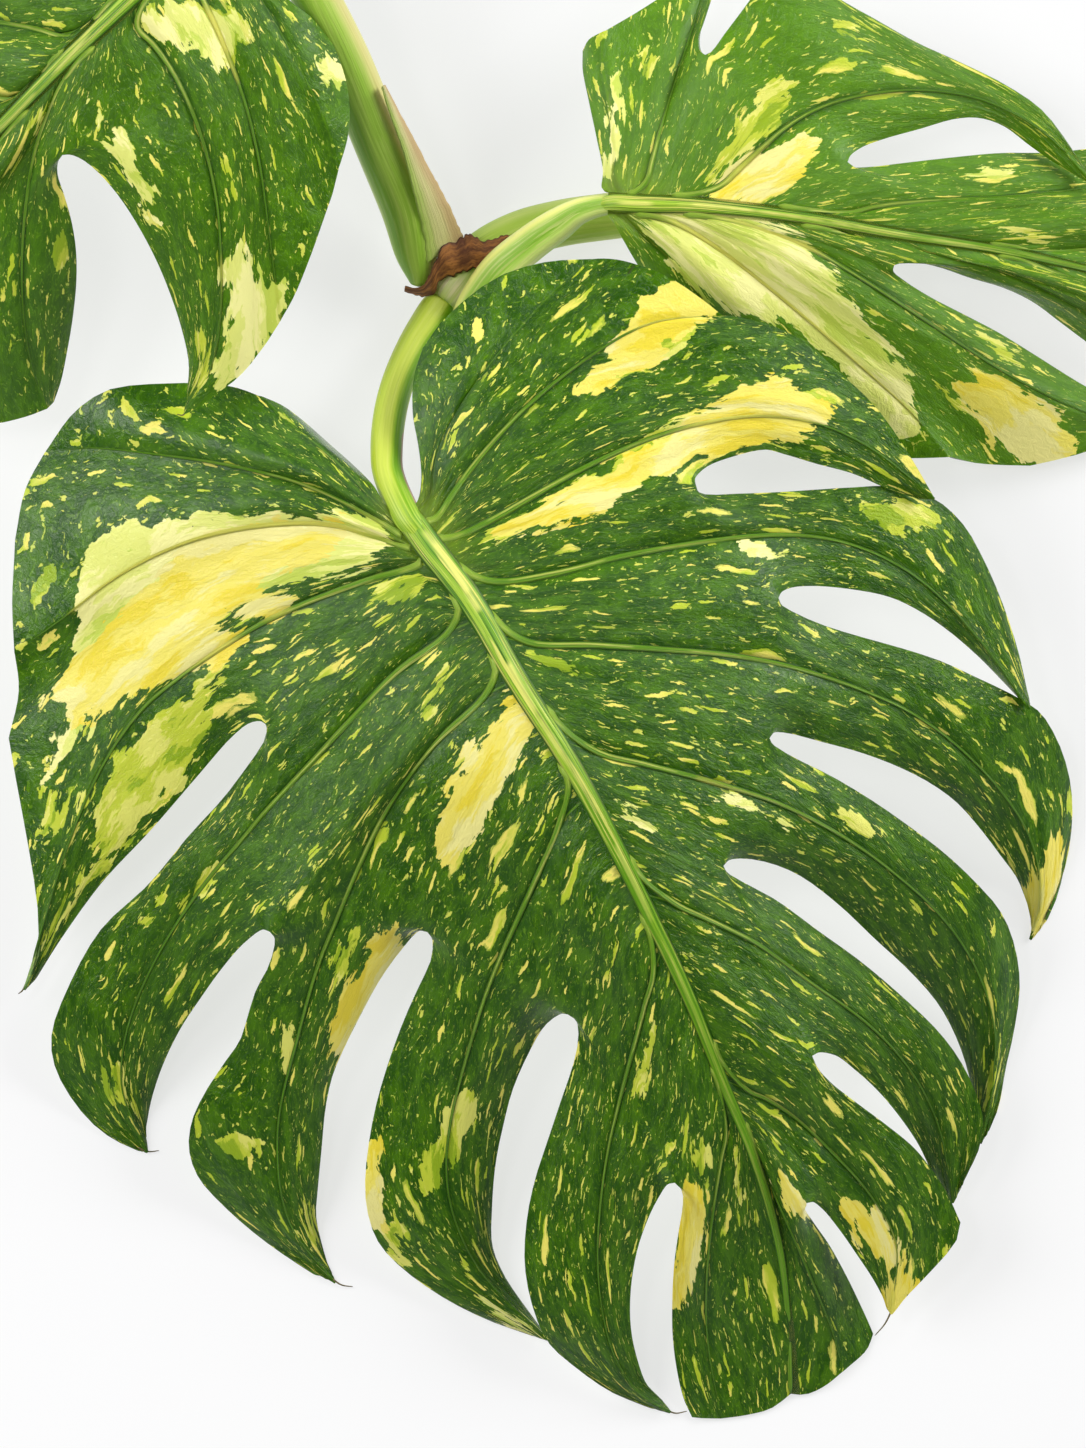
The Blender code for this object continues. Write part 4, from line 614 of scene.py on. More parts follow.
def reach_along(rows):
    """Plan length in mm from the first row to each row."""
    step = np.linalg.norm(np.diff(rows[:, :2], axis=0), axis=1) * PLAN_UNIT
    return np.concatenate([[0.0], np.cumsum(step)])


def leaf_sheet(tables, inner, outer, shares):
    """The middle surface of a leaf, its triangles, its thickness, and what the paint reads at each point.

    flow holds the length along the nearest veins, the place across them and the station on the midrib, in mm.
    marks holds the distance to the nearest side vein in mm and the share of its length.
    """
    midrib, table_left, table_right, end_at, rib_depth = tables
    rib = Midrib(midrib)
    last = inner + outer
    half = len(shares) - 1
    points, depth, flow, marks, index, quads = [], [], [], [], {}, []

    def add(key, place, thick, flow_here, mark_here):
        if key not in index:
            index[key] = len(points)
            points.append(place)
            depth.append(thick)
            flow.append(flow_here)
            marks.append(mark_here)
        return index[key]

    stations = []
    for table in (table_left, table_right):
        at = [item["at"] for item in table] + [end_at]
        columns = []
        for k, (a, b) in enumerate(zip(at[:-1], at[1:])):
            spread = shares if k % 2 == 0 else 1.0 - shares[::-1]
            columns += list(a + (b - a) * spread[:-1])
        stations.append(np.array(columns + [end_at]))
    centre = 0.5 * (stations[0] + stations[1])
    for side_index, (table, side) in enumerate(((table_left, 1), (table_right, -1))):
        borders, veins = leaf_side(rib, table, side, end_at, inner, outer, RIM_STEPS)
        across = side * 1000.0
        for k, vein_line in enumerate(veins):
            vein_rows = vein_line["rows"]
            vein_reach = reach_along(vein_rows)
            for part in (0, 1):
                border = borders[k + part]
                which = "far" if part == 0 else "near"
                kind = border["item"]["kind"]
                rows = np.column_stack([border[which][:, :2], border[which + "_z"]])
                split = {"slit": 1.0, "join": 0.0, "end": 0.0, "edge": 2.0}[kind]
                at = (border["item"]["at"], vein_line["item"]["at"])
                rim = vein_line["rim_before"] if part == 0 else vein_line["rim_after"][::-1]
                patch = half_lobe(rib, side, rows, vein_rows, at, rim, inner, outer, shares, split,
                                  kind == "end")
                border_reach = reach_along(rows)
                width = np.linalg.norm(rows[:, :2] - vein_rows[:, :2], axis=1) * PLAN_UNIT
                mean_width = width[: last * 3 // 4].mean()
                base = 2 * k * half
                numbers = np.zeros((half + 1, last + 2), int)
                for j, t in enumerate(shares):
                    column = base + j if part == 0 else base + 2 * half - j
                    place = across + side * mean_width * (t if part == 0 else 1.0 - t)
                    station = centre[column] * PLAN_UNIT
                    middle = rib.at(centre[column])
                    thick = BLADE_THICKNESS + rib_depth * middle[3] / midrib[0][3]
                    numbers[j, 0] = add(("rib", column), middle[:3], thick, (-middle[3], 0.0, station),
                                        (FAR_FROM_VEIN, 0.0, 0.0))
                    for i in range(last + 1):
                        key = (side_index, column, i)
                        if kind == "end" and j == 0:
                            key = ("end", i)
                        elif kind == "slit" and j == 0 and i > inner:
                            key = (side_index, column, i, which)
                        reach = (1.0 - t) * border_reach[i] + t * vein_reach[i]
                        away = (1.0 - t) * width[i]
                        if i == last:
                            away = np.linalg.norm(patch[j, i, :2] - vein_rows[-1, :2]) * PLAN_UNIT
                        numbers[j, i + 1] = add(key, patch[j, i], BLADE_THICKNESS, (reach, place, station),
                                                (away, i / last, 0.0))
                if part == 1:
                    numbers = numbers[::-1]
                across += side * mean_width
                for j in range(half):
                    for i in range(last + 1):
                        a, b = numbers[j, i], numbers[j + 1, i]
                        c, d = numbers[j + 1, i + 1], numbers[j, i + 1]
                        quads.append((a, d, c, b) if side == 1 else (a, b, c, d))
    points = to_mm(points)
    points[:, 2] = np.maximum(points[:, 2], LOWEST_MIDDLE)
    quads = np.array(quads)
    held = [number for key, number in index.items() if key[0] == "rib" or key[-1] == 0]
    for _ in range(4):
        faces = split_quads(points, quads)
        points = unfolded(points, faces, held)
    return points, split_quads(points, quads), np.array(depth), np.array(flow), np.array(marks)


def plan_area(points, faces):
    """Signed areas of triangles seen from above."""
    a, b, c = (points[faces[:, k], :2] for k in range(3))
    return 0.5 * ((b - a)[:, 0] * (c - a)[:, 1] - (c - a)[:, 0] * (b - a)[:, 1])


def split_quads(points, quads):
    """Two triangles for each quad, cut along the diagonal that leaves the larger smallest triangle."""
    one = (quads[:, [0, 1, 2]], quads[:, [0, 2, 3]])
    other = (quads[:, [1, 2, 3]], quads[:, [1, 3, 0]])
    least_one = np.minimum(plan_area(points, one[0]), plan_area(points, one[1]))
    least_other = np.minimum(plan_area(points, other[0]), plan_area(points, other[1]))
    first_better = (least_one >= 0.8 * least_other)[:, None]
    halves = [np.where(first_better, one[k], other[k]) for k in (0, 1)]
    return np.stack(halves, axis=1).reshape(-1, 3)


def unfolded(points, faces, held):
    """Points inside the sheet whose triangles are folded over or very thin move towards their neighbours."""
    edges = np.vstack([faces[:, [0, 1]], faces[:, [1, 2]], faces[:, [2, 0]]])
    pairs = {(int(a), int(b)) for a, b in edges}
    inside = np.ones(len(points), bool)
    inside[[a for a, b in pairs if (b, a) not in pairs]] = False
    inside[held] = False
    neighbours = np.maximum(np.bincount(edges[:, 0], minlength=len(points)), 1)[:, None]
    points = points.copy()
    for _ in range(30):
        folded = plan_area(points, faces) < THINNEST_TRIANGLE
        loose = np.zeros(len(points), bool)
        loose[faces[folded].ravel()] = True
        loose &= inside
        if not loose.any():
            break
        total = np.zeros_like(points)
        np.add.at(total, edges[:, 0], points[edges[:, 1]])
        points[loose] += 0.5 * ((total / neighbours)[loose] - points[loose])
    return points


def point_normals(points, faces):
    """Unit normals at the points, weighted by area."""
    corner = points[faces]
    cross = np.cross(corner[:, 1] - corner[:, 0], corner[:, 2] - corner[:, 0])
    normals = np.zeros_like(points)
    for k in range(3):
        np.add.at(normals, faces[:, k], cross)
    normals[:, 2] += 1e-6
    return normals / np.linalg.norm(normals, axis=1)[:, None]


def thick_sheet(points, faces, depth):
    """A closed sheet: like triangles above and below, a wall round the margin, and nothing below z = 0."""
    normals = point_normals(points, faces)
    half_depth = np.asarray(depth)[:, None] * 0.5
    top = points + normals * half_depth
    under = points - normals * half_depth
    under[:, 2] = np.maximum(under[:, 2], 0.0)
    top[:, 2] = np.maximum(top[:, 2], under[:, 2] + LEAST_THICKNESS)
    count = len(points)
    seen = {}
    for a, b, c in faces:
        for edge_pair in ((a, b), (b, c), (c, a)):
            seen[edge_pair] = True
    wall = []
    for a, b in seen:
        if (b, a) not in seen:
            wall += [(a, a + count, b + count), (a, b + count, b)]
    under_faces = [(a + count, c + count, b + count) for a, b, c in faces]
    return np.vstack([top, under]), [tuple(f) for f in faces] + under_faces + wall


def rings_along(path, count):
    """Smooth rings along a stalk: places and radii in mm, and directions to the side and up."""
    line = spaced(smooth_line(path, 20), count)
    place = to_mm(line)
    ahead = np.gradient(place, axis=0)
    ahead /= np.linalg.norm(ahead, axis=1)[:, None]
    across = np.cross(ahead, np.array([0.0, 0.0, 1.0]))
    across /= np.linalg.norm(across, axis=1)[:, None]
    upward = np.cross(across, ahead)
    return place, line[:, 3], across, upward


def run_into_midrib(midrib):
    """Last points of a stalk that runs on into its leaf's midrib."""
    rib = Midrib(midrib)
    first = np.array(midrib[0][:2], float)
    heading = np.array(midrib[2][:2], float) - first
    heading /= np.linalg.norm(heading)
    made = []
    for distance, sink, size in STALK_TO_MIDRIB:
        x, y = first + heading * distance / PLAN_UNIT
        height = rib.at(distance / PLAN_UNIT)[2] - sink
        made.append((x, y, height, size * midrib[2][3]))
    return made


def bell(angle, centre, width):
    """1 at the centre and falling away over the width, round a stalk; angles in degrees."""
    away = (np.asarray(angle) - centre + 180.0) % 360.0 - 180.0
    return np.exp(-(away / width) ** 2)


def stalk(path, rings, sides, channel=0.0, swell=(), brown=(), flatness=1.0, grooves=0.0):
    """Points, faces, and what the paint reads, of a round stalk.

    channel sinks its upper face, grooves line it, and flatness squeezes its height. swell has its joints, as
    (share of the length, size in mm, width as a share). brown has its dry places, as (from share, to share,
    angle, width in degrees). flow holds the length in mm, the place round and the share of the length. marks
    holds how dry a place is and how near a joint.
    """
    place, radius, across, upward = rings_along(path, rings)
    angle = np.arange(sides) * 360.0 / sides
    turn = np.radians(angle)
    share = np.arange(rings + 1) / rings
    reach = np.concatenate([[0.0], np.cumsum(np.linalg.norm(np.diff(place, axis=0), axis=1))])
    joint = np.zeros(rings + 1)
    for at, size, width in swell:
        near_joint = np.exp(-((share - at) / width) ** 2)
        joint = joint + near_joint
        radius = radius + size * near_joint
    points, flow, marks = [], [], []
    # The seam of the number that runs round the stalk lies on the underside.
    round_mm = (np.degrees(np.unwrap(np.radians(angle + 90.0))) % 360.0) / 360.0 * ROUND_SPAN
    for i in range(rings + 1):
        ends = min(reach[i], reach[-1] - reach[i]) / (END_ROUNDING * radius[i])
        round_off = math.sqrt(max(0.0, 1.0 - (1.0 - min(1.0, ends + END_START)) ** 2))
        sunk = channel * float(ease(4.0 * (1.0 - share[i]))) * bell(angle, CHANNEL_AT, CHANNEL_WIDTH)
        lined = 1.0 + grooves * np.cos(GROOVES_ROUND * turn + 1.0)
        spread = radius[i] * (1.0 - sunk) * lined * round_off
        outward = np.cos(turn)[:, None] * across[i] + flatness * np.sin(turn)[:, None] * upward[i]
        points.append(place[i] + spread[:, None] * outward)
        dry = np.zeros(sides)
        for first, last, centre, width in brown:
            there = ease((share[i] - first) * DRY_FADE) * ease((last - share[i]) * DRY_FADE)
            dry = dry + float(there) * bell(angle, centre, width)
        flow.append(np.column_stack([np.full(sides, reach[i]), round_mm, np.full(sides, share[i])]))
        marks.append(np.column_stack([dry, np.full(sides, joint[i]), np.zeros(sides)]))
    points = np.vstack(points)
    points[:, 2] = np.maximum(points[:, 2], 0.0)
    faces = []
    for i in range(rings):
        for j in range(sides):
            a, b = i * sides + j, i * sides + (j + 1) % sides
            faces.append((a, a + sides, b + sides, b))
    faces.append(tuple(range(sides)))
    faces.append(tuple(rings * sides + j for j in reversed(range(sides))))
    return points, faces, np.vstack(flow), np.vstack(marks)


def join_parts(parts):
    """One set of points and faces from several."""
    points, faces, flow, marks = [], [], [], []
    base = 0
    for part_points, part_faces, part_flow, part_marks in parts:
        points.append(part_points)
        faces += [tuple(i + base for i in face) for face in part_faces]
        flow.append(part_flow)
        marks.append(part_marks)
        base += len(part_points)
    return np.vstack(points), faces, np.vstack(flow), np.vstack(marks)


def leaf_ribs(tables, stalk_end, widening):
    """The midrib and the side veins of a leaf, as tapered ribs half sunk in the blade.

    The midrib starts inside the stalk, whose last point is stalk_end. widening is its width against that of
    the table.
    """
    midrib, table_left, table_right, end_at, _ = tables
    rib = Midrib(midrib)
    crown = 0.5 * BLADE_THICKNESS
    path = []
    for n, (x, y, z, half_width) in enumerate(midrib):
        share = 1.0 + (widening - 1.0) * min(1.0, n / 3.0)
        path.append((x, y, z + RIB_TIP_RISE * n / (len(midrib) - 1), half_width * share))
    # The first point is a little low and narrow, and one more lies inside the stalk.
    path[0] = (path[0][0], path[0][1], path[0][2] - 0.4, 0.9 * path[1][3])
    halfway = 0.5 * (np.array(stalk_end[:3], float) + np.array(midrib[0][:3], float))
    path.insert(0, (halfway[0], halfway[1], halfway[2] - 1.5, 0.6 * path[1][3]))
    flatness = MIDRIB_FLATNESS / widening
    parts = [stalk(path, MIDRIB_RINGS, MIDRIB_SIDES, flatness=flatness, grooves=MIDRIB_GROOVES)]
    for table, side in ((table_left, 1), (table_right, -1)):
        _, veins = leaf_side(rib, table, side, end_at, INNER_ROWS, OUTER_ROWS, RIM_STEPS)
        before = 0.0
        for vein_line in veins:
            at = vein_line["item"]["at"]
            hook = min(HOOK_LENGTH, HOOK_SHARE * (at - before))
            before = at
            strength = widening ** 0.5 * (rib.at(at)[3] / midrib[2][3]) ** 0.5
            # Two points on the midrib's edge begin the hook.
            line = []
            for back in (1.0, 0.55):
                place = rib.edge(max(at - hook * back, LEAST_HOOK), side)
                line.append((place[0], place[1], place[2] + crown))
            rows = vein_line["rows"]
            step = np.linalg.norm(rows[:, :2] - rows[0, :2], axis=1)
            start = int(np.searchsorted(step, 0.35 * hook + 4.0))
            stop = int(len(rows) * VEIN_REACH)
            for i in range(start, stop, 3):
                line.append((rows[i, 0], rows[i, 1], rows[i, 2] + crown - VEIN_SINK * (1.0 - i / len(rows))))
            count = len(line)
            taper = VEIN_TIP + (1.0 - VEIN_TIP) * np.linspace(1.0, 0.0, count) ** 1.4
            sizes = VEIN_RADIUS * strength * taper
            path = [(x, y, z - 0.15 * size, size) for (x, y, z), size in zip(line, sizes)]
            if count > 3:
                parts.append(stalk(path, VEIN_RINGS, VEIN_SIDES, flatness=VEIN_FLATNESS))
    return join_parts(parts)


def draped(lower, upper, long_steps, ragged, seed):
    """A thin sheath between two edge lines of points in plan units and mm, with torn edges."""
    low = spaced(smooth_line(lower, 12), long_steps)
    high = spaced(smooth_line(upper, 12), long_steps)
    random = np.random.default_rng(seed)
    points, flow = [], []
    tear = random.normal(0.0, ragged, (2, long_steps + 3))
    tear = (tear[:, :-2] + 2.0 * tear[:, 1:-1] + tear[:, 2:]) / 3.0
    for n in range(long_steps + 1):
        for step in range(SHEATH_STEPS + 1):
            part = step / SHEATH_STEPS
            place = low[n] * (1.0 - part) + high[n] * part
            place = place + (high[n] - low[n]) * (tear[1][n] * part * part - tear[0][n] * (1.0 - part) ** 2)
            place[2] += SHEATH_CROWN * math.sin(math.pi * part)
            place[2] += SHEATH_RIPPLE * math.sin(0.5 * n + 4.0 * part)
            points.append(place)
            flow.append((n * 0.9, part * 6.0, abs(2.0 * part - 1.0)))
    points = to_mm(points)
    wide = SHEATH_STEPS + 1
    faces = []
    for i in range(long_steps):
        for j in range(SHEATH_STEPS):
            a, b = i * wide + j, i * wide + j + 1
            faces += [(a, a + wide, b + wide), (a, b + wide, b)]
    faces = np.array(faces)
    if point_normals(points, faces)[:, 2].sum() < 0.0:
        faces = faces[:, ::-1]
    sheet, all_faces = thick_sheet(points, faces, np.full(len(points), SHEATH_THICKNESS))
    return sheet, all_faces, np.vstack([flow, flow])


# Large patches of the blades, as drawn: colour, and outline in plan units.
# Colours: 0 yellow, 1 lime, 2 cream.
MAIN_PATCHES = [
    (2, [(119, 519), (160, 522), (240, 516), (345, 512), (385, 522), (395, 542), (350, 575), (300, 585),
         (255, 595), (225, 602), (205, 625), (150, 640), (95, 660), (72, 655), (74, 600), (82, 570),
         (100, 540)]),
    (0, [(340, 526), (300, 529), (225, 536), (185, 555), (160, 585), (130, 612), (105, 642), (70, 680),
         (48, 716), (85, 712), (110, 700), (150, 680), (180, 668), (215, 658), (246, 642), (206, 634),
         (220, 612), (250, 592), (250, 580), (300, 560), (335, 545)]),
    (1, [(236, 658), (222, 680), (212, 700), (206, 733), (192, 774), (150, 820), (115, 861), (90, 890),
         (60, 930), (40, 962), (36, 940), (70, 890), (95, 850), (92, 800), (115, 752), (147, 718),
         (176, 704), (204, 676)]),
    (2, [(14, 782), (45, 745), (86, 722), (92, 732), (60, 760), (24, 795)]),
    (1, [(28, 818), (60, 788), (92, 786), (100, 802), (62, 826), (42, 850)]),
    (1, [(430, 560), (405, 572), (370, 590), (362, 606), (380, 608), (398, 600), (408, 612), (420, 600),
         (432, 582)]),
    (0, [(247, 612), (262, 601), (287, 602), (288, 612), (270, 618)]),
    (1, [(520, 697), (532, 720), (528, 745), (508, 775), (482, 812), (470, 812), (478, 770), (490, 745),
         (505, 715)]),
    (0, [(500, 735), (515, 700), (528, 722), (508, 765), (482, 805), (470, 830), (445, 866), (440, 838),
         (452, 800), (468, 770), (482, 745)]),
    (1, [(449, 652), (452, 672), (430, 722), (418, 726), (424, 700), (436, 672)]),
    (1, [(655, 287), (692, 292), (718, 310), (700, 330), (690, 352), (660, 366), (600, 400), (572, 396),
         (592, 372), (622, 348), (636, 325)]),
    (0, [(662, 292), (690, 294), (712, 308), (692, 322), (655, 345), (660, 356), (628, 366), (596, 392),
         (583, 388), (604, 368), (634, 340), (640, 322)]),
    (1, [(470, 545), (500, 520), (560, 492), (640, 436), (710, 402), (770, 376), (805, 384), (832, 412),
         (818, 432), (750, 448), (700, 462), (640, 492), (590, 520), (540, 534), (500, 548)]),
    (0, [(505, 532), (545, 512), (600, 482), (650, 455), (700, 420), (765, 385), (800, 392), (826, 412),
         (800, 430), (745, 440), (690, 455), (640, 478), (590, 508), (540, 526)]),
    (2, [(735, 548), (765, 546), (792, 556), (780, 562), (750, 556)]),
    (1, [(852, 498), (905, 498), (950, 520), (930, 538), (890, 536), (862, 518)]),
    (1, [(830, 800), (855, 806), (890, 838), (872, 842), (842, 826)]),
    (1, [(120, 920), (135, 905), (155, 915), (155, 935), (135, 940)]),
    (1, [(235, 850), (225, 875), (200, 895), (178, 918), (180, 895), (205, 872)]),
    (0, [(392, 932), (396, 950), (372, 985), (350, 1020), (338, 1058), (336, 1040), (345, 1005), (360, 975),
         (378, 945)]),
    (1, [(350, 915), (362, 935), (352, 970), (338, 995), (328, 985), (336, 950)]),
    (1, [(478, 1092), (480, 1120), (462, 1150), (445, 1170), (440, 1195), (420, 1200), (412, 1170),
         (428, 1150), (440, 1110), (455, 1092)]),
    (1, [(392, 1195), (406, 1200), (408, 1240), (418, 1270), (398, 1272), (384, 1250), (382, 1215)]),
    (0, [(366, 1142), (372, 1150), (376, 1200), (380, 1225), (366, 1205)]),
    (1, [(655, 1008), (662, 1040), (648, 1080), (636, 1118), (628, 1100), (638, 1060)]),
    (0, [(690, 1190), (700, 1192), (697, 1240), (688, 1275), (678, 1305), (674, 1290), (685, 1235)]),
    (1, [(692, 1130), (706, 1130), (712, 1170), (700, 1180), (688, 1166)]),
    (0, [(784, 1180), (791, 1186), (799, 1205), (795, 1206), (787, 1192)]),
    (0, [(852, 1206), (872, 1212), (894, 1240), (895, 1258), (880, 1248), (862, 1238)]),
    (1, [(733, 1142), (742, 1160), (742, 1200), (732, 1202)]),
    (1, [(672, 938), (690, 940), (690, 958), (676, 950)]),
    (2, [(608, 800), (632, 812), (658, 828), (650, 832), (622, 820)]),
    (0, [(1062, 840), (1060, 868), (1048, 900), (1038, 936), (1030, 930), (1034, 896), (1048, 862)]),
    (1, [(1002, 1030), (1006, 1060), (996, 1095), (986, 1120), (982, 1092), (994, 1060)]),
    (0, [(905, 1276), (912, 1290), (892, 1318), (888, 1300)]),
    (1, [(100, 1062), (122, 1062), (132, 1090), (140, 1120), (122, 1112), (104, 1090)]),
    (1, [(215, 1140), (245, 1130), (275, 1142), (255, 1160), (225, 1160)]),
    (1, [(298, 1194), (308, 1200), (320, 1245), (310, 1255), (296, 1230)]),
    (1, [(285, 1020), (298, 1018), (300, 1045), (288, 1078), (278, 1070)]),
    (2, [(480, 1295), (510, 1318), (540, 1340), (520, 1336), (495, 1318)]),
    (1, [(60, 550), (72, 562), (55, 590), (30, 606), (38, 580)]),
    (1, [(520, 652), (560, 658), (600, 672), (570, 676), (530, 664)]),
    (2, [(700, 780), (745, 800), (790, 826), (750, 812), (712, 796)]),
]
RIGHT_PATCHES = [
    (2, [(628, 205), (700, 206), (760, 216), (808, 244), (846, 292), (872, 325), (905, 362), (918, 432),
         (890, 430), (850, 385), (806, 332), (745, 314), (704, 300), (650, 240)]),
    (0, [(720, 198), (735, 170), (768, 150), (800, 138), (812, 142), (795, 175), (760, 195), (735, 202)]),
    (1, [(700, 196), (722, 150), (745, 105), (765, 80), (795, 66), (798, 90), (775, 130), (740, 165),
         (712, 200)]),
    (0, [(962, 385), (990, 378), (1030, 398), (1068, 430), (1078, 452), (1040, 455), (1000, 440),
         (985, 415)]),
    (1, [(930, 385), (965, 388), (988, 420), (1000, 445), (970, 420)]),
    (1, [(975, 325), (1000, 335), (1022, 352), (1020, 368), (996, 356)]),
    (1, [(985, 218), (1030, 222), (1048, 240), (1020, 244)]),
    (2, [(970, 175), (1000, 168), (1022, 172), (1005, 183)]),
    (2, [(612, 70), (622, 72), (620, 130), (614, 178), (606, 176), (610, 120)]),
    (1, [(640, 42), (657, 45), (654, 75), (640, 80)]),
    (1, [(832, 22), (850, 14), (880, 35), (862, 44)]),
    (1, [(1130, 232), (1200, 236), (1260, 250), (1190, 252)]),
    (1, [(1160, 190), (1200, 188), (1230, 184), (1190, 198)]),
    (0, [(1130, 320), (1165, 345), (1180, 375), (1150, 355)]),
    (1, [(1090, 395), (1130, 402), (1160, 398), (1120, 420)]),
]
LEFT_PATCHES = [
    (1, [(150, 10), (200, 2), (250, 20), (262, 45), (242, 60), (238, 85), (205, 62), (160, 48), (130, 40)]),
    (2, [(175, 8), (235, 22), (252, 45), (228, 60), (238, 84), (205, 62), (165, 44), (145, 25)]),
    (2, [(318, 52), (335, 62), (346, 90), (342, 112), (326, 84)]),
    (1, [(85, 95), (110, 115), (140, 150), (160, 190), (165, 235), (152, 232), (140, 190), (118, 165),
         (100, 140)]),
    (2, [(92, 105), (128, 140), (152, 178), (162, 226), (142, 198), (112, 155)]),
    (2, [(240, 244), (254, 272), (268, 290), (284, 286), (288, 320), (264, 354), (240, 376), (222, 394),
         (214, 385), (228, 340), (230, 300), (222, 270)]),
    (1, [(205, 330), (215, 350), (212, 392), (198, 410), (192, 380), (196, 345)]),
    (1, [(52, 222), (70, 235), (74, 262), (62, 278), (50, 255)]),
    (1, [(36, 105), (48, 112), (50, 140), (38, 150)]),
    (1, [(-40, -120), (20, -100), (80, -85), (20, -75), (-40, -95)]),
    (0, [(-160, 20), (-110, 20), (-60, 30), (-110, 42), (-170, 36)]),
    (1, [(-240, 70), (-180, 75), (-110, 85), (-180, 98), (-245, 88)]),
    (1, [(-230, 210), (-190, 200), (-130, 196), (-180, 225), (-235, 240)]),
    (0, [(-60, 330), (-40, 300), (-15, 270), (-30, 330), (-50, 370)]),
]
PATCHES = {"leaf_main": MAIN_PATCHES, "leaf_right": RIGHT_PATCHES, "leaf_left": LEFT_PATCHES}


def patch_depth(points, outline):
    """How far inside an outline each point lies, in mm: negative outside it. Both are in plan units."""
    best = np.full(len(points), 1e9)
    inside = np.zeros(len(points), bool)
    corners = np.array(outline, float)
    for a, b in zip(corners, np.roll(corners, -1, axis=0)):
        step = b - a
        share = np.clip(((points - a) @ step) / (step @ step), 0.0, 1.0)
        best = np.minimum(best, np.linalg.norm(points - a - share[:, None] * step, axis=1))
        crosses = (a[1] > points[:, 1]) != (b[1] > points[:, 1])
        rise = np.where(abs(step[1]) > 1e-9, step[1], 1e-9)
        inside ^= crosses & (points[:, 0] < a[0] + step[0] * (points[:, 1] - a[1]) / rise)
    return np.where(inside, best, -best) * PLAN_UNIT


def display(red, green, blue):
    """The colour that shows as these 0 to 255 values."""
    shares = [value / 255.0 for value in (red, green, blue)]
    linear = [v / 12.92 if v <= 0.04045 else ((v + 0.055) / 1.055) ** 2.4 for v in shares]
    return (*linear, 1.0)


class Paint:
    """A material and short ways to add its nodes. Each method returns an output to go on with."""

    def __init__(self, name, roughness):
        self.material = bpy.data.materials.new(name)
        self.material.use_nodes = True
        self.tree = self.material.node_tree
        self.shader = self.tree.nodes["Principled BSDF"]
        self.shader.inputs["Roughness"].default_value = roughness

    def put(self, socket, value):
        if isinstance(value, bpy.types.NodeSocket):
            self.tree.links.new(value, socket)
        else:
            socket.default_value = value

    def node(self, kind, inputs, output=0, **settings):
        made = self.tree.nodes.new(kind)
        for name, value in settings.items():
            setattr(made, name, value)
        for name, value in inputs.items():
            self.put(made.inputs[name], value)
        return made.outputs[output]

    def read(self, name):
        """The three numbers of an attribute."""
        vector = self.node("ShaderNodeAttribute", {}, "Vector", attribute_name=name)
        apart = self.tree.nodes.new("ShaderNodeSeparateXYZ")
        self.tree.links.new(vector, apart.inputs[0])
        return apart.outputs[0], apart.outputs[1], apart.outputs[2]

    def math(self, operation, a, b=0.0):
        return self.node("ShaderNodeMath", {0: a, 1: b}, operation=operation)

    def add(self, a, b):
        return self.math("ADD", a, b)

    def times(self, a, b):
        return self.math("MULTIPLY", a, b)

    def place(self, x, sx, y, sy, z=0.0):
        """A place for a texture, from two numbers with a scale each."""
        return self.node("ShaderNodeCombineXYZ", {0: self.times(x, sx), 1: self.times(y, sy), 2: z})

    def noise(self, place, scale=1.0, detail=2.0, rough=0.5):
        return self.node("ShaderNodeTexNoise",
                         {"Vector": place, "Scale": scale, "Detail": detail, "Roughness": rough}, "Fac")

    def swing(self, place, size, detail=2.0, rough=0.5):
        """A noise that goes about as far below nothing as above it."""
        return self.times(self.math("SUBTRACT", self.noise(place, 1.0, detail, rough), 0.5), size)

    def step(self, value, low, high):
        """0 below low and 1 above high, smooth between them. low may be the larger."""
        return self.node("ShaderNodeMapRange", {"Value": value, "From Min": low, "From Max": high},
                         interpolation_type="SMOOTHSTEP")

    def spots(self, u, su, v, sv, seed, share, size):
        """How deep in a spot a place is, in cells: share of them have none, size is the largest radius."""
        cell = self.tree.nodes.new("ShaderNodeTexVoronoi")
        self.put(cell.inputs["Vector"], self.place(u, su, v, sv, seed))
        self.put(cell.inputs["Scale"], 1.0)
        picked = self.tree.nodes.new("ShaderNodeSeparateXYZ")
        self.put(picked.inputs[0], cell.outputs["Color"])
        room = self.times(self.math("SUBTRACT", picked.outputs[0], share), size / (1.0 - share))
        return self.math("SUBTRACT", room, cell.outputs["Distance"])

    def mix(self, share, a, b):
        made = self.tree.nodes.new("ShaderNodeMix")
        made.data_type = "RGBA"
        self.put(made.inputs[0], share)
        self.put(made.inputs[6], a)
        self.put(made.inputs[7], b)
        return made.outputs[2]

    def bump(self, height, distance):
        self.put(self.shader.inputs["Normal"],
                 self.node("ShaderNodeBump", {"Height": height, "Distance": distance, "Strength": 1.0}))


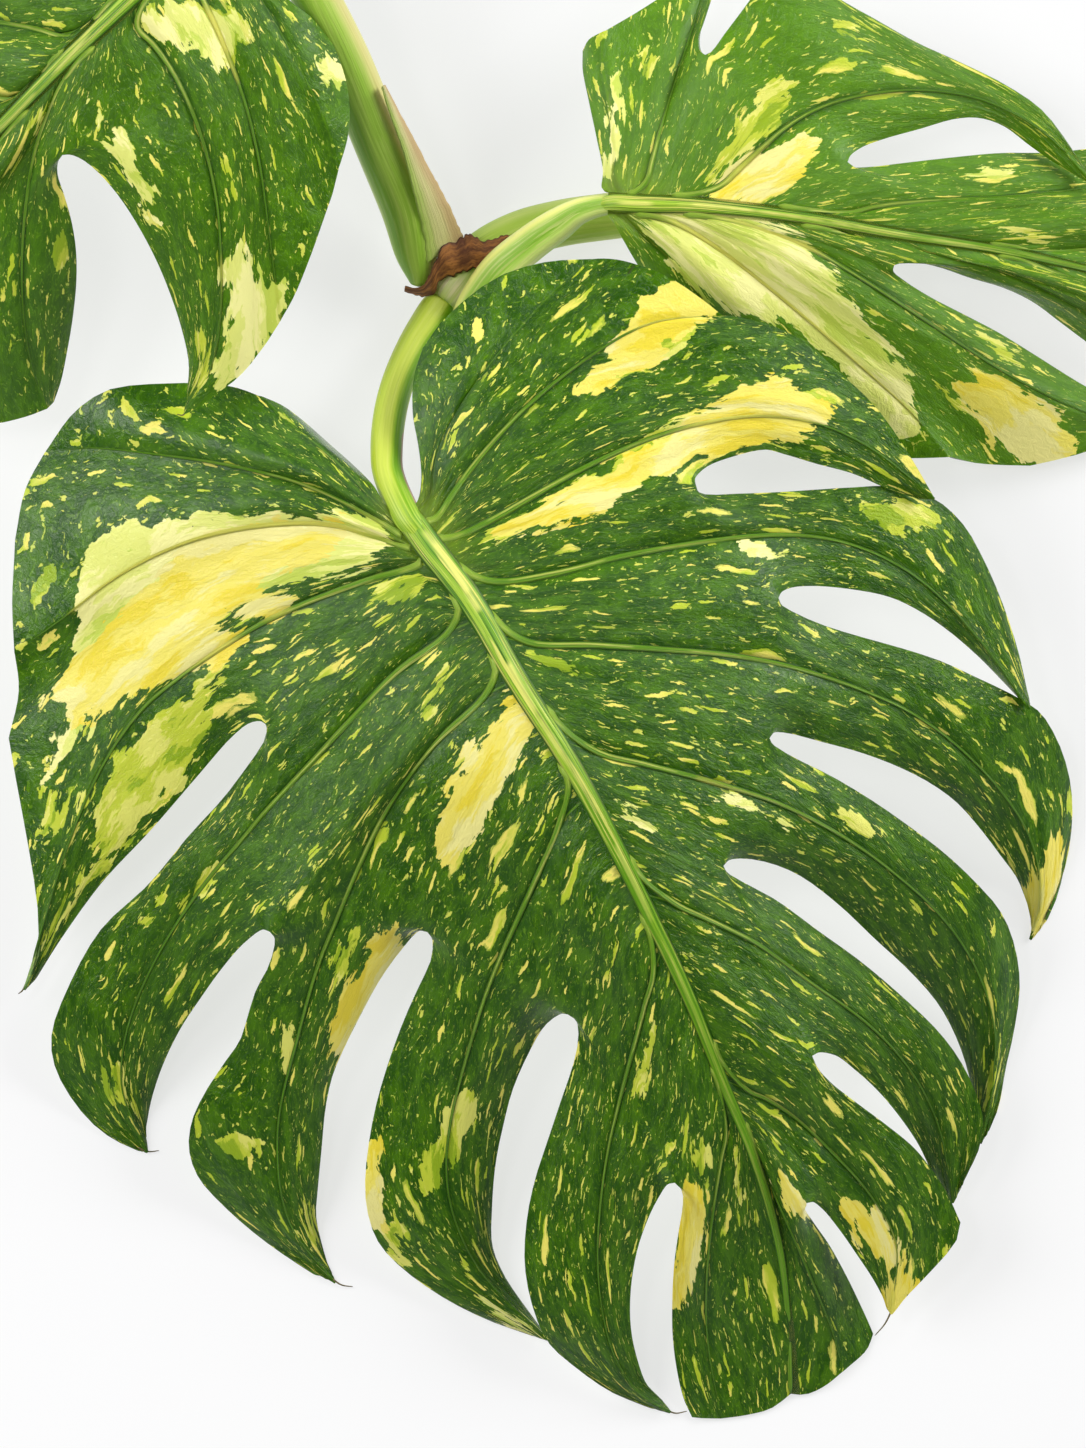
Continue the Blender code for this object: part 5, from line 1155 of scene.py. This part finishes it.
def blade_paint(name, under, painted_light=0.0):
    """A blade's paint: green, with dots, dashes and large patches of yellow and lime along the veins.

    painted_light is the share of a lighter green laid over the whole blade: painted light.
    """
    p = Paint(name, 0.36)
    u, v_plain, station = p.read("flow")
    near, along, _ = p.read("marks")
    yellow, lime, cream = p.read("splash")
    # The flow wanders a little, so that no streak is quite straight, and edges are uneven.
    v = p.add(v_plain, p.swing(p.place(u, 0.05, v_plain, 0.09), 9.0))
    v = p.add(v, p.swing(p.place(u, 0.40, v_plain, 0.9, 4.0), 1.6, 3.0, 0.6))
    u = p.add(u, p.swing(p.place(u, 0.25, v_plain, 0.8, 8.0), 6.0, 3.0, 0.55))

    deep, green, bright = display(38, 80, 3), display(66, 110, 5), display(112, 156, 22)
    marble = p.noise(p.place(u, 0.12, v, 0.22), detail=5.0, rough=0.65)
    colour = p.mix(p.step(marble, 0.40, 0.62), deep, green)
    fleck = p.noise(p.place(u, 0.9, v, 1.5, 3.0), detail=3.0, rough=0.6)
    colour = p.mix(p.times(p.step(fleck, 0.55, 0.63), 0.45), colour, bright)
    # Painted light: the whole blade is lighter by this share.
    colour = p.mix(painted_light, colour, display(122, 178, 34))

    # Medium marks and dashes along the veins, thicker in some places than in others.
    crowd = p.swing(p.place(u, 0.02, v, 0.05, 7.0), 0.9, 1.0)
    tint = p.step(p.noise(p.place(u, 0.06, v, 0.25, 5.0)), 0.42, 0.58)
    mark_colour = p.mix(tint, display(184, 202, 48), display(240, 228, 106))
    blots = p.add(p.spots(u, 0.062, v, 0.32, 1.0, 0.89, 0.60), p.times(crowd, 0.5))
    colour = p.mix(p.step(blots, -0.03, 0.0), colour, p.mix(0.5, display(110, 150, 30), mark_colour))
    colour = p.mix(p.step(blots, 0.035, 0.055), colour, mark_colour)
    dashes = p.add(p.spots(u, 0.12, v, 0.72, 2.0, 0.76, 0.55), p.times(crowd, 0.45))
    colour = p.mix(p.step(dashes, 0.0, 0.04), colour, mark_colour)
    small = p.add(p.spots(u, 0.28, v, 1.5, 3.0, 0.70, 0.46), p.times(crowd, 0.3))
    colour = p.mix(p.times(p.step(small, 0.0, 0.08), 0.9), colour, display(216, 220, 90))
    dots = p.spots(u, 1.0, v, 1.4, 4.0, 0.80, 0.5)
    colour = p.mix(p.times(p.step(dots, 0.0, 0.12), 0.85), colour, display(200, 214, 84))

    # Painted shade: the blade is darker in the grooves beside its side veins and along both edges of the
    # raised midrib. It is paler right at a side vein.
    fade = p.math("POWER", p.math("SUBTRACT", 1.0, along), 0.6)
    colour = p.mix(p.times(p.step(near, 2.8, 1.0), p.times(fade, 0.75)), colour, display(28, 70, 3))
    colour = p.mix(p.times(p.step(near, 0.55, 0.1), p.times(fade, 0.7)), colour, display(110, 156, 34))
    # Painted shadow along both edges of the raised midrib.
    shade_beside_midrib = p.times(p.step(u, 2.2, 0.2), p.step(u, -1.0, 0.0))
    colour = p.mix(p.times(shade_beside_midrib, 0.45), colour, display(36, 84, 3))

    # Large patches with lobed edges.
    edge = p.swing(p.place(u, 0.10, v, 0.24, 17.0), 15.0, 3.0, 0.5)
    ragged = p.add(edge, p.swing(p.place(u, 0.35, v, 0.7, 23.0), 3.0))
    shade = p.noise(p.place(u, 0.035, v, 0.11, 31.0), detail=4.0, rough=0.55)
    shade = p.add(shade, p.swing(p.place(u, 0.06, v, 0.9, 33.0), 0.25, 3.0))
    lime_colour = p.mix(p.step(shade, 0.42, 0.45), display(146, 174, 32), display(194, 206, 60))
    lime_colour = p.mix(p.step(shade, 0.51, 0.54), lime_colour, display(224, 224, 108))
    yellow_colour = p.mix(p.step(shade, 0.40, 0.46), display(232, 212, 60), display(238, 224, 100))
    yellow_colour = p.mix(p.step(shade, 0.52, 0.58), yellow_colour, display(240, 231, 144))
    cream_colour = p.mix(p.step(shade, 0.42, 0.45), display(196, 212, 84), display(226, 230, 122))
    cream_colour = p.mix(p.step(shade, 0.53, 0.57), cream_colour, display(244, 240, 156))
    layers = ((lime, lime_colour, -1.0), (cream, cream_colour, 0.0), (yellow, yellow_colour, 2.5))
    for depth, paint, wider in layers:
        colour = p.mix(p.step(p.add(p.add(depth, ragged), wider), 0.0, 0.3), colour, paint)
    # A few small dark pits.
    pits = p.spots(u, 0.12, v, 0.16, 9.0, 0.965, 0.16)
    colour = p.mix(p.step(pits, 0.0, 0.05), colour, display(52, 70, 14))

    # The blade is pale round the end of its stalk, and olive beside the veins inside a large patch.
    base = p.times(p.step(p.add(station, p.add(u, edge)), 34.0, 6.0), p.step(u, 16.0, 2.0))
    colour = p.mix(p.times(base, 0.3), colour, display(164, 190, 56))
    in_yellow = p.step(p.math("MAXIMUM", yellow, cream), -2.0, 2.0)
    colour = p.mix(p.times(p.times(p.step(near, 1.6, 0.2), in_yellow), 0.4), colour, display(176, 182, 56))

    if under:
        colour = p.mix(0.5, colour, display(150, 180, 105))
    p.put(p.shader.inputs["Base Color"], colour)
    p.shader.inputs["Specular IOR Level"].default_value = 0.3
    satin = p.noise(p.place(u, 0.2, v, 0.8, 53.0), detail=3.0)
    p.put(p.shader.inputs["Roughness"], p.add(p.times(satin, 0.14), 0.42 if under else 0.12))

    # Relief: soft ribs along the flow and a fine pucker.
    relief = p.times(p.noise(p.place(u, 0.03, v, 0.12, 61.0), detail=2.0, rough=0.5), 1.8)
    relief = p.add(relief, p.times(p.noise(p.place(u, 0.16, v, 0.4, 63.0), detail=3.0, rough=0.55), 0.35))
    pucker = p.noise(p.place(u, 0.55, v, 1.3, 67.0), detail=4.0, rough=0.65)
    relief = p.add(relief, p.times(pucker, 0.45))
    p.bump(relief, 0.0009)
    return p.material


def rib_paint(name):
    """Midribs and side veins: pale green with cream streaks and dark lines along them, a painted highlight
    along the top and painted shade on the lower sides.
    """
    p = Paint(name, 0.34)
    length, turn, share = p.read("flow")
    streak = p.noise(p.place(length, 0.018, turn, 1.3, 3.0), detail=3.0, rough=0.6)
    colour = p.mix(p.step(streak, 0.42, 0.60), display(104, 158, 16), display(166, 198, 56))
    pale = p.noise(p.place(length, 0.022, turn, 1.1, 13.0), detail=3.0, rough=0.55)
    colour = p.mix(p.times(p.step(pale, 0.52, 0.60), 0.9), colour, display(230, 224, 112))
    line = p.noise(p.place(length, 0.008, turn, 3.2, 23.0), detail=3.0, rough=0.5)
    colour = p.mix(p.times(p.step(line, 0.53, 0.60), 0.85), colour, display(40, 88, 10))
    # Towards their tips the ribs sink into the green, and the side veins are greener than the midrib.
    colour = p.mix(p.times(p.step(share, 0.05, 0.8), 0.75), colour, display(92, 146, 18))
    side_vein = p.read("marks")[0]
    colour = p.mix(p.times(side_vein, 0.6), colour, display(82, 136, 14))
    # A painted highlight: a cream crest along the top. Painted shade: dark lower sides. A pale start takes
    # over from the stalk.
    wander = p.swing(p.place(length, 0.014, 0.0, 1.0, 43.0), 5.0)
    off_crest = p.math("ABSOLUTE", p.math("SUBTRACT", p.add(turn, wander), ROUND_SPAN / 2.0))
    broken = p.step(p.noise(p.place(length, 0.045, 0.0, 1.0, 47.0), detail=2.0), 0.43, 0.53)
    crest = p.times(p.step(off_crest, 0.9, 0.2), p.step(share, 0.75, 0.05))
    crest = p.times(crest, p.math("SUBTRACT", 0.85, p.times(side_vein, 0.35)))
    colour = p.mix(p.times(crest, broken), colour, display(234, 232, 120))
    # Painted shade on the lower sides of the ribs.
    off_top = p.math("ABSOLUTE", p.math("SUBTRACT", turn, ROUND_SPAN / 2.0))
    shaded_side = p.times(p.step(off_top, 1.5, 2.5), p.step(share, 0.0, 0.06))
    colour = p.mix(p.times(shaded_side, 0.9), colour, display(30, 82, 4))
    colour = p.mix(p.times(p.step(share, 0.07, 0.01), 0.5), colour, display(164, 194, 62))
    # Inside a large patch a side vein is yellow too.
    yellow, _, cream = p.read("splash")
    in_yellow = p.step(p.math("MAXIMUM", yellow, cream), -3.0, 2.0)
    colour = p.mix(p.times(p.times(in_yellow, p.step(share, 0.0, 0.2)), 0.88), colour, display(222, 216, 92))
    p.put(p.shader.inputs["Base Color"], colour)
    p.shader.inputs["Specular IOR Level"].default_value = 0.35
    p.bump(p.noise(p.place(length, 0.02, turn, 2.4, 29.0), detail=3.0), 0.0006)
    return p.material


def stalk_paint(name, dark, middle, pale, spots, bands=()):
    """A stalk's paint: soft bands along it, pale flecks, dry brown places and pale joints.

    spots is the strength of the flecks. bands has (place round the stalk, half width, strength, colour).
    """
    p = Paint(name, 0.38)
    length, turn, share = p.read("flow")
    brown, joint, _ = p.read("marks")
    band = p.noise(p.place(length, 0.006, turn, 0.42, 3.0), detail=2.0, rough=0.5)
    colour = p.mix(p.step(band, 0.36, 0.64), middle, pale)
    thin = p.noise(p.place(length, 0.016, turn, 3.5, 13.0), detail=3.0, rough=0.6)
    colour = p.mix(p.times(p.step(thin, 0.50, 0.66), 0.14), colour, dark)
    wander = p.swing(p.place(length, 0.012, 0.0, 1.0, 41.0), 1.6)
    for centre, half, strength, paint in bands:
        away = p.math("ABSOLUTE", p.math("SUBTRACT", p.add(turn, wander), centre))
        colour = p.mix(p.times(p.step(away, 1.5 * half, 0.4 * half), strength), colour, paint)
    at_leaf = p.mix(p.step(thin, 0.42, 0.58), display(112, 162, 22), display(172, 200, 66))
    colour = p.mix(p.times(p.step(share, 0.62, 0.82), 0.9), colour, at_leaf)
    fleck = p.noise(p.place(length, 0.05, turn, 3.0, 19.0), detail=3.0)
    colour = p.mix(p.times(p.step(fleck, 0.52, 0.60), spots), colour, display(232, 228, 150))
    dry = p.step(p.add(brown, p.swing(p.place(length, 0.3, turn, 3.0, 37.0), 0.8, 3.0)), 0.35, 0.6)
    dry_colour = p.mix(p.step(thin, 0.45, 0.6), display(186, 150, 116), display(112, 62, 34))
    colour = p.mix(dry, colour, dry_colour)
    joint_colour = p.mix(p.step(thin, 0.42, 0.58), display(242, 226, 186), display(206, 208, 142))
    colour = p.mix(p.times(joint, 0.8), colour, joint_colour)
    p.put(p.shader.inputs["Base Color"], colour)
    p.shader.inputs["Specular IOR Level"].default_value = 0.3
    p.bump(p.noise(p.place(length, 0.03, turn, 3.0, 29.0), detail=3.0), 0.0003)
    return p.material


def sheath_paint(name, dark, light, scale):
    """A dry fibrous sheath, darker at its edges. scale is how close together its fibres are."""
    p = Paint(name, 0.7)
    length, turn, share = p.read("flow")
    fibre = p.noise(p.place(length, 0.10, turn, 2.0 * scale, 3.0), detail=5.0, rough=0.65)
    blotch = p.noise(p.place(length, 0.15, turn, 0.8, 9.0), detail=2.0)
    colour = p.mix(p.step(fibre, 0.36, 0.66), dark, light)
    colour = p.mix(p.times(p.step(blotch, 0.45, 0.7), 0.6), colour, dark)
    colour = p.mix(p.step(share, 0.85, 1.0), colour, p.mix(0.5, dark, display(24, 12, 8)))
    p.put(p.shader.inputs["Base Color"], colour)
    p.bump(fibre, 0.0004)
    return p.material


def tan_paint(name):
    """The dry wing of a sheath: an olive brown line at the stalk, beige towards its free edge."""
    p = Paint(name, 0.6)
    length, turn, _ = p.read("flow")
    fibre = p.noise(p.place(length, 0.03, turn, 2.4, 3.0), detail=4.0, rough=0.6)
    across = p.add(turn, p.swing(p.place(length, 0.05, turn, 0.4, 7.0), 2.0))
    colour = p.mix(p.step(across, 0.4, 3.0), display(172, 196, 90), display(206, 200, 136))
    colour = p.mix(p.step(across, 3.0, 5.2), colour, display(190, 162, 114))
    colour = p.mix(p.times(p.step(fibre, 0.5, 0.68), 0.3), colour, display(222, 202, 156))
    p.put(p.shader.inputs["Base Color"], colour)
    p.bump(fibre, 0.0005)
    return p.material


def piece(name, points, faces, looks, attributes, slot, under_from=None):
    """A smooth piece from points in mm, with its paint's numbers, that rides on the root.

    under_from is the first face of the second look and the one after its last.
    """
    mesh = bpy.data.meshes.new(name)
    places = [tuple(place) for place in np.asarray(points) * MM]
    mesh.from_pydata(places, [], [tuple(int(i) for i in face) for face in faces])
    mesh.update()
    for look in looks:
        mesh.materials.append(look)
    for label, values in attributes.items():
        layer = mesh.attributes.new(label, "FLOAT_VECTOR", "POINT")
        layer.data.foreach_set("vector", np.asarray(values, float).ravel())
    mesh.polygons.foreach_set("use_smooth", [True] * len(mesh.polygons))
    if under_from is not None:
        first, last = under_from
        chosen = np.zeros(len(mesh.polygons), int)
        chosen[first:last] = 1
        mesh.polygons.foreach_set("material_index", chosen)
    thing = bpy.data.objects.new(name, mesh)
    bpy.context.scene.collection.objects.link(thing)
    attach(thing, "root")
    return thing


def sharpen_margin(thing, count):
    """Keeps the margin crisp: its edges between a face and the wall are sharp."""
    mesh = thing.data
    sharp = np.zeros(len(mesh.edges), bool)
    wall_ends = set()
    for polygon in mesh.polygons:
        above = [v for v in polygon.vertices if v < count]
        if 0 < len(above) < 3:
            wall_ends.update(polygon.edge_keys)
    for edge in mesh.edges:
        a, b = edge.vertices
        if (a < count) == (b < count) and (min(a, b), max(a, b)) in wall_ends:
            sharp[edge.index] = True
    layer = mesh.attributes.new("sharp_edge", "BOOLEAN", "EDGE")
    layer.data.foreach_set("value", sharp)


# The left and right blades get a share of painted light.
blade_tops = {
    "leaf_main": blade_paint("blade", False),
    "leaf_left": blade_paint("left_blade", False, 0.12),
    "leaf_right": blade_paint("right_blade", False, 0.32),
}
blade_under = blade_paint("blade_underside", True)
rib_green = rib_paint("ribs")

STALK_ENDS = {"leaf_main": MAIN_STALK[-1], "leaf_left": LEFT_STALK[-1], "leaf_right": RIGHT_STALK[-1]}


def splash_depths(points, leaf_name):
    """How deep points in mm are inside the yellow, lime and cream patches of a leaf."""
    plan_x = points[:, 0] / PLAN_UNIT + PLAN_ORIGIN[0]
    plan_y = PLAN_ORIGIN[1] - points[:, 1] / PLAN_UNIT
    plan = np.column_stack([plan_x, plan_y])
    depths = np.full((len(plan), 3), FAR_OUTSIDE)
    for colour_number, outline in PATCHES[leaf_name]:
        depths[:, colour_number] = np.maximum(depths[:, colour_number], patch_depth(plan, outline))
    return depths


for number, (leaf_name, leaf_tables) in enumerate(LEAVES.items()):
    made = leaf_sheet(leaf_tables, INNER_ROWS, OUTER_ROWS, COLUMN_SHARES)
    sheet, sheet_faces, sheet_depth, sheet_flow, sheet_marks = made
    splash = splash_depths(sheet, leaf_name)
    u, v = sheet_flow[:, 0], sheet_flow[:, 1]
    near, along = sheet_marks[:, 0], sheet_marks[:, 1]
    inside_blade = ease(u / 4.0) * ease(near / 5.0)
    sheet[:, 2] -= GROOVE_DEPTH * (1.0 - along) ** 0.7 * np.exp(-(near / GROOVE_WIDTH) ** 2) * (u > 0.0)
    sheet[:, 2] += inside_blade * QUILT_HEIGHT * np.sin(v * 0.75 + 1.6 * np.sin(u * 0.06))
    sheet[:, 2] += inside_blade * ease(along * 2.0) * WAVE_HEIGHT * np.sin(u * 0.11 + v * 0.04)
    sheet[:, 2] = np.maximum(sheet[:, 2], LOWEST_MIDDLE)
    sheet_flow = sheet_flow + np.array([0.0, BLADE_PAINT_SHIFT * number, 0.0])
    blade_points, blade_faces = thick_sheet(sheet, sheet_faces, sheet_depth)
    sheet_numbers = {"flow": sheet_flow, "marks": sheet_marks, "splash": splash}
    doubled = {label: np.vstack([values] * 2) for label, values in sheet_numbers.items()}
    looks = (blade_tops[leaf_name], blade_under)
    under_from = (len(sheet_faces), 2 * len(sheet_faces))
    blade = piece("fine_" + leaf_name, blade_points, blade_faces, looks, doubled, "blade", under_from)
    sharpen_margin(blade, len(sheet))
    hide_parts(leaf_name)
    made = leaf_ribs(leaf_tables, STALK_ENDS[leaf_name], RIB_WIDENING[leaf_name])
    rib_points, rib_faces, rib_flow, _ = made
    rib_flow = rib_flow + np.array([RIB_PAINT_SHIFT * number, 0.0, 0.0])
    # The midrib's points come first. It takes no colour from the patches, and its marks stay 0.
    midrib_points = (MIDRIB_RINGS + 1) * MIDRIB_SIDES
    rib_splash = splash_depths(rib_points, leaf_name)
    rib_splash[:midrib_points] = FAR_OUTSIDE
    rib_marks = np.zeros((len(rib_points), 3))
    rib_marks[midrib_points:, 0] = 1.0
    rib_numbers = {"flow": rib_flow, "splash": rib_splash, "marks": rib_marks}
    piece("ribs_" + leaf_name, rib_points, rib_faces, (rib_green,), rib_numbers, "blade")


def fine_stalk(node, path, rings, sides, look, slot, **form):
    """A finer stalk in place of a node of the frame. form is what stalk takes beside its rings and sides."""
    points, faces, flow, marks = stalk(path, rings, sides, **form)
    thing = piece("fine_" + node, points, faces, (look,), {"flow": flow, "marks": marks}, slot)
    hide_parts(node)


def fine_sheath(node, lower, upper, long_steps, ragged, seed, look, slot):
    """A finer sheath in place of a node of the frame."""
    points, faces, flow = draped(lower, upper, long_steps, ragged, seed)
    thing = piece("fine_" + node, points, faces, (look,), {"flow": flow}, slot)
    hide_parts(node)


# Soft bands along the stalks: place round the stalk, half width, strength and colour. The first band of the
# left stalk and the first band of the right stalk are painted highlights along one edge.
MAIN_BANDS = [(4.2, 1.2, 0.5, display(160, 176, 18)), (6.6, 1.2, 0.7, display(212, 220, 96)),
              (8.8, 1.0, 0.85, display(98, 156, 8))]
LEFT_BANDS_AND_HIGHLIGHT = [(10.7, 1.0, 0.75, display(206, 220, 140)), (8.8, 0.9, 0.65, display(104, 160, 18)),
              (4.4, 1.2, 0.85, display(208, 196, 128))]
RIGHT_BANDS_AND_HIGHLIGHT = [(9.4, 1.0, 0.9, display(242, 240, 140)), (7.4, 1.0, 0.6, display(122, 174, 44)),
               (5.0, 1.0, 0.8, display(218, 230, 136))]
stalk_green = stalk_paint("stalk", display(98, 152, 4), display(158, 190, 22), display(192, 210, 60), 0.1,
                          MAIN_BANDS)
left_green = stalk_paint("left_stalk", display(96, 152, 10), display(156, 194, 66),
                         display(188, 212, 100), 0.1, LEFT_BANDS_AND_HIGHLIGHT)
striped_green = stalk_paint("striped_stalk", display(112, 172, 26), display(164, 206, 70),
                            display(204, 222, 116), 0.4, RIGHT_BANDS_AND_HIGHLIGHT)
stem_green = stalk_paint("stem", display(146, 180, 50), display(178, 206, 82), display(204, 220, 116), 0.15)

fine_stalk("stem", STEM_PATH + NODE_END, 90, 40, stem_green, "stem", swell=[(0.90, 0.7, 0.06)])
main_path = MAIN_FOOT + MAIN_STALK + run_into_midrib(MAIN_MIDRIB)
main_brown = [(0.45, 0.86, 170.0, 16.0)]
fine_stalk("petiole_main", main_path, 90, 40, stalk_green, "stalk", channel=0.10, brown=main_brown)
left_path = LEFT_FOOT + LEFT_STALK[1:] + run_into_midrib(LEFT_MIDRIB)
fine_stalk("petiole_left", left_path, 110, 48, left_green, "stalk", channel=0.05)
right_path = RIGHT_FOOT + RIGHT_STALK + run_into_midrib(RIGHT_MIDRIB)
fine_stalk("petiole_right", right_path, 100, 44, striped_green, "stalk", channel=0.16, grooves=0.02)

brown_sheath = sheath_paint("brown_sheath", display(88, 44, 16), display(164, 104, 46), 0.5)
tan_sheath = tan_paint("tan_sheath")
# Edge lines of the two sheaths, in plan units and mm.
SHEATH_UPPER = [(405, 284, 8.5), (414, 286, 11.5), (423, 284, 14.5), (430, 272, 18.5), (436, 258, 20.5),
                (442, 246, 20.5), (455, 241, 18.0), (471, 233, 18.0), (482, 240, 14.6), (497, 236, 14.2),
                (525, 230, 13.0)]
SHEATH_LOWER = [(404, 289, 7.0), (414, 292, 9.0), (425, 295, 11.5), (433, 293, 15.2), (438, 281, 15.9),
                (446, 277, 15.7), (457, 273, 15.6), (469, 269, 15.6), (483, 262, 15.6), (499, 255, 15.4),
                (524, 243, 14.8)]
TAN_INNER = [(382, 90, 56), (391, 118, 50), (403, 152, 43), (413, 190, 35), (421, 224, 27), (427, 262, 19)]
TAN_OUTER = [(385, 87, 54), (400, 115, 46), (416, 144, 39), (433, 176, 31), (449, 205, 24), (464, 238, 16)]
fine_sheath("node_sheath", SHEATH_LOWER, SHEATH_UPPER, 90, 0.05, 5, brown_sheath, "brown sheath")
fine_sheath("petiole_left_sheath", TAN_INNER, TAN_OUTER, 80, 0.015, 7, tan_sheath, "tan sheath")

# Dry threads at some of the tips, in plan units and mm.
THREAD_RADIUS = 0.32
THREAD_TAPER = 0.09
THREADS = [
    [(24, 985, 12.5), (20, 992, 11.6), (16, 995, 10.8)],
    [(136, 1150, 0.9), (146, 1154, 0.6), (157, 1153, 0.5)],
    [(330, 1281, 0.9), (340, 1288, 0.6), (352, 1290, 0.5)],
    [(664, 1412, 2.2), (676, 1417, 1.8), (688, 1415, 1.4)],
    [(893, 1312, 16.0), (886, 1326, 14.5), (876, 1338, 13.0)],
    [(188, 410, 54.0), (184, 416, 53.0), (178, 415, 52.2)],
]
thread_parts = []
for line in THREADS:
    path = []
    for k, (x, y, z) in enumerate(line):
        path.append((x, y, max(z, LOWEST_MIDDLE), THREAD_RADIUS - THREAD_TAPER * k))
    thread_parts.append(stalk(path, 14, 8))
made = join_parts(thread_parts)
thread_brown = sheath_paint("thread", display(96, 84, 48), display(150, 132, 84), 1.0)
piece("tip_threads", *made[:2], (thread_brown,), {"flow": made[2]}, "tan sheath")

# Floor, light and camera. The photograph's size is in plan units, the rest in metres. The frame's height is
# measured at the height of FRAME_PLANE.
PHOTO_SIZE = (1086.0, 1448.0)
FRAME_HEIGHT = PHOTO_SIZE[1] * PLAN_UNIT * MM
FRAME_CENTRE = to_mm([(PHOTO_SIZE[0] / 2.0, PHOTO_SIZE[1] / 2.0, 0.0)])[0] * MM
FRAME_PLANE = 0.035
CAMERA_HEIGHT = 6.0
SENSOR_HEIGHT = 36.0
FLOOR_REACH = 4.0
FLOOR_HEIGHT = -0.0003
FLOOR_COLOUR = (0.26, 0.26, 0.262, 1.0)
FLOOR_GLOW = 0.69

floor_mesh = bpy.data.meshes.new("floor")
corner_signs = ((-1, -1), (1, -1), (1, 1), (-1, 1))
floor_corners = [(x * FLOOR_REACH, y * FLOOR_REACH, FLOOR_HEIGHT) for x, y in corner_signs]
floor_mesh.from_pydata(floor_corners, [], [(0, 1, 2, 3)])
floor = bpy.data.objects.new("floor", floor_mesh)
bpy.context.scene.collection.objects.link(floor)
floor_paint = Paint("floor", 0.9)
floor_paint.shader.inputs["Base Color"].default_value = FLOOR_COLOUR
floor_paint.shader.inputs["Specular IOR Level"].default_value = 0.0
floor_paint.shader.inputs["Emission Color"].default_value = (1.0, 1.0, 1.0, 1.0)
floor_paint.shader.inputs["Emission Strength"].default_value = FLOOR_GLOW
floor_mesh.materials.append(floor_paint.material)

camera_data = bpy.data.cameras.new("camera")
camera_data.sensor_fit = "VERTICAL"
camera_data.sensor_height = SENSOR_HEIGHT
camera_data.lens = SENSOR_HEIGHT * (CAMERA_HEIGHT - FRAME_PLANE) / FRAME_HEIGHT
camera_data.clip_start = 0.1
camera_data.clip_end = 60.0
camera = bpy.data.objects.new("camera", camera_data)
camera.location = (FRAME_CENTRE[0], FRAME_CENTRE[1], CAMERA_HEIGHT)
bpy.context.scene.collection.objects.link(camera)
bpy.context.scene.camera = camera


def soft_light(name, place, size, power):
    """A square light that faces the cutting. Its place and size are in metres, its power in watts."""
    data = bpy.data.lights.new(name, "AREA")
    data.shape = "SQUARE"
    data.size = size
    data.energy = power
    thing = bpy.data.objects.new(name, data)
    thing.location = place
    aim = Vector((FRAME_CENTRE[0], FRAME_CENTRE[1], 0.0)) - Vector(place)
    thing.rotation_euler = aim.to_track_quat("-Z", "Y").to_euler()
    bpy.context.scene.collection.objects.link(thing)


soft_light("key", (2.6, 1.6, 1.6), 1.9, 118.0)
soft_light("left window", (-1.45, 0.40, 1.45), 1.2, 35.0)
soft_light("gloss", (-0.62, 0.22, 2.4), 0.36, 8.5)

# A white room with a dark ceiling: the level parts of the blades mirror the ceiling, the sloped ones the
# walls. Each pair is a height, from 0 straight down to 1 straight up, and the light from there.
ROOM_LIGHT = [(0.0, 0.7), (0.25, 0.7), (0.45, 0.40), (0.60, 0.09), (0.75, 0.02), (0.90, 0.01), (1.0, 0.01)]
world = bpy.data.worlds.new("white room")
world.use_nodes = True
world_tree = world.node_tree
background = world_tree.nodes["Background"]
direction = world_tree.nodes.new("ShaderNodeTexCoord")
apart = world_tree.nodes.new("ShaderNodeSeparateXYZ")
world_tree.links.new(direction.outputs["Generated"], apart.inputs[0])
ramp = world_tree.nodes.new("ShaderNodeValToRGB")
while len(ramp.color_ramp.elements) < len(ROOM_LIGHT):
    ramp.color_ramp.elements.new(0.5)
for element, (height, light) in zip(ramp.color_ramp.elements, ROOM_LIGHT):
    element.position = height
    element.color = (light * 0.98, light * 0.99, light, 1.0)
world_tree.links.new(apart.outputs[2], ramp.inputs[0])
world_tree.links.new(ramp.outputs[0], background.inputs["Color"])
background.inputs["Strength"].default_value = 1.0
bpy.context.scene.world = world
bpy.context.scene.view_settings.view_transform = "Standard"
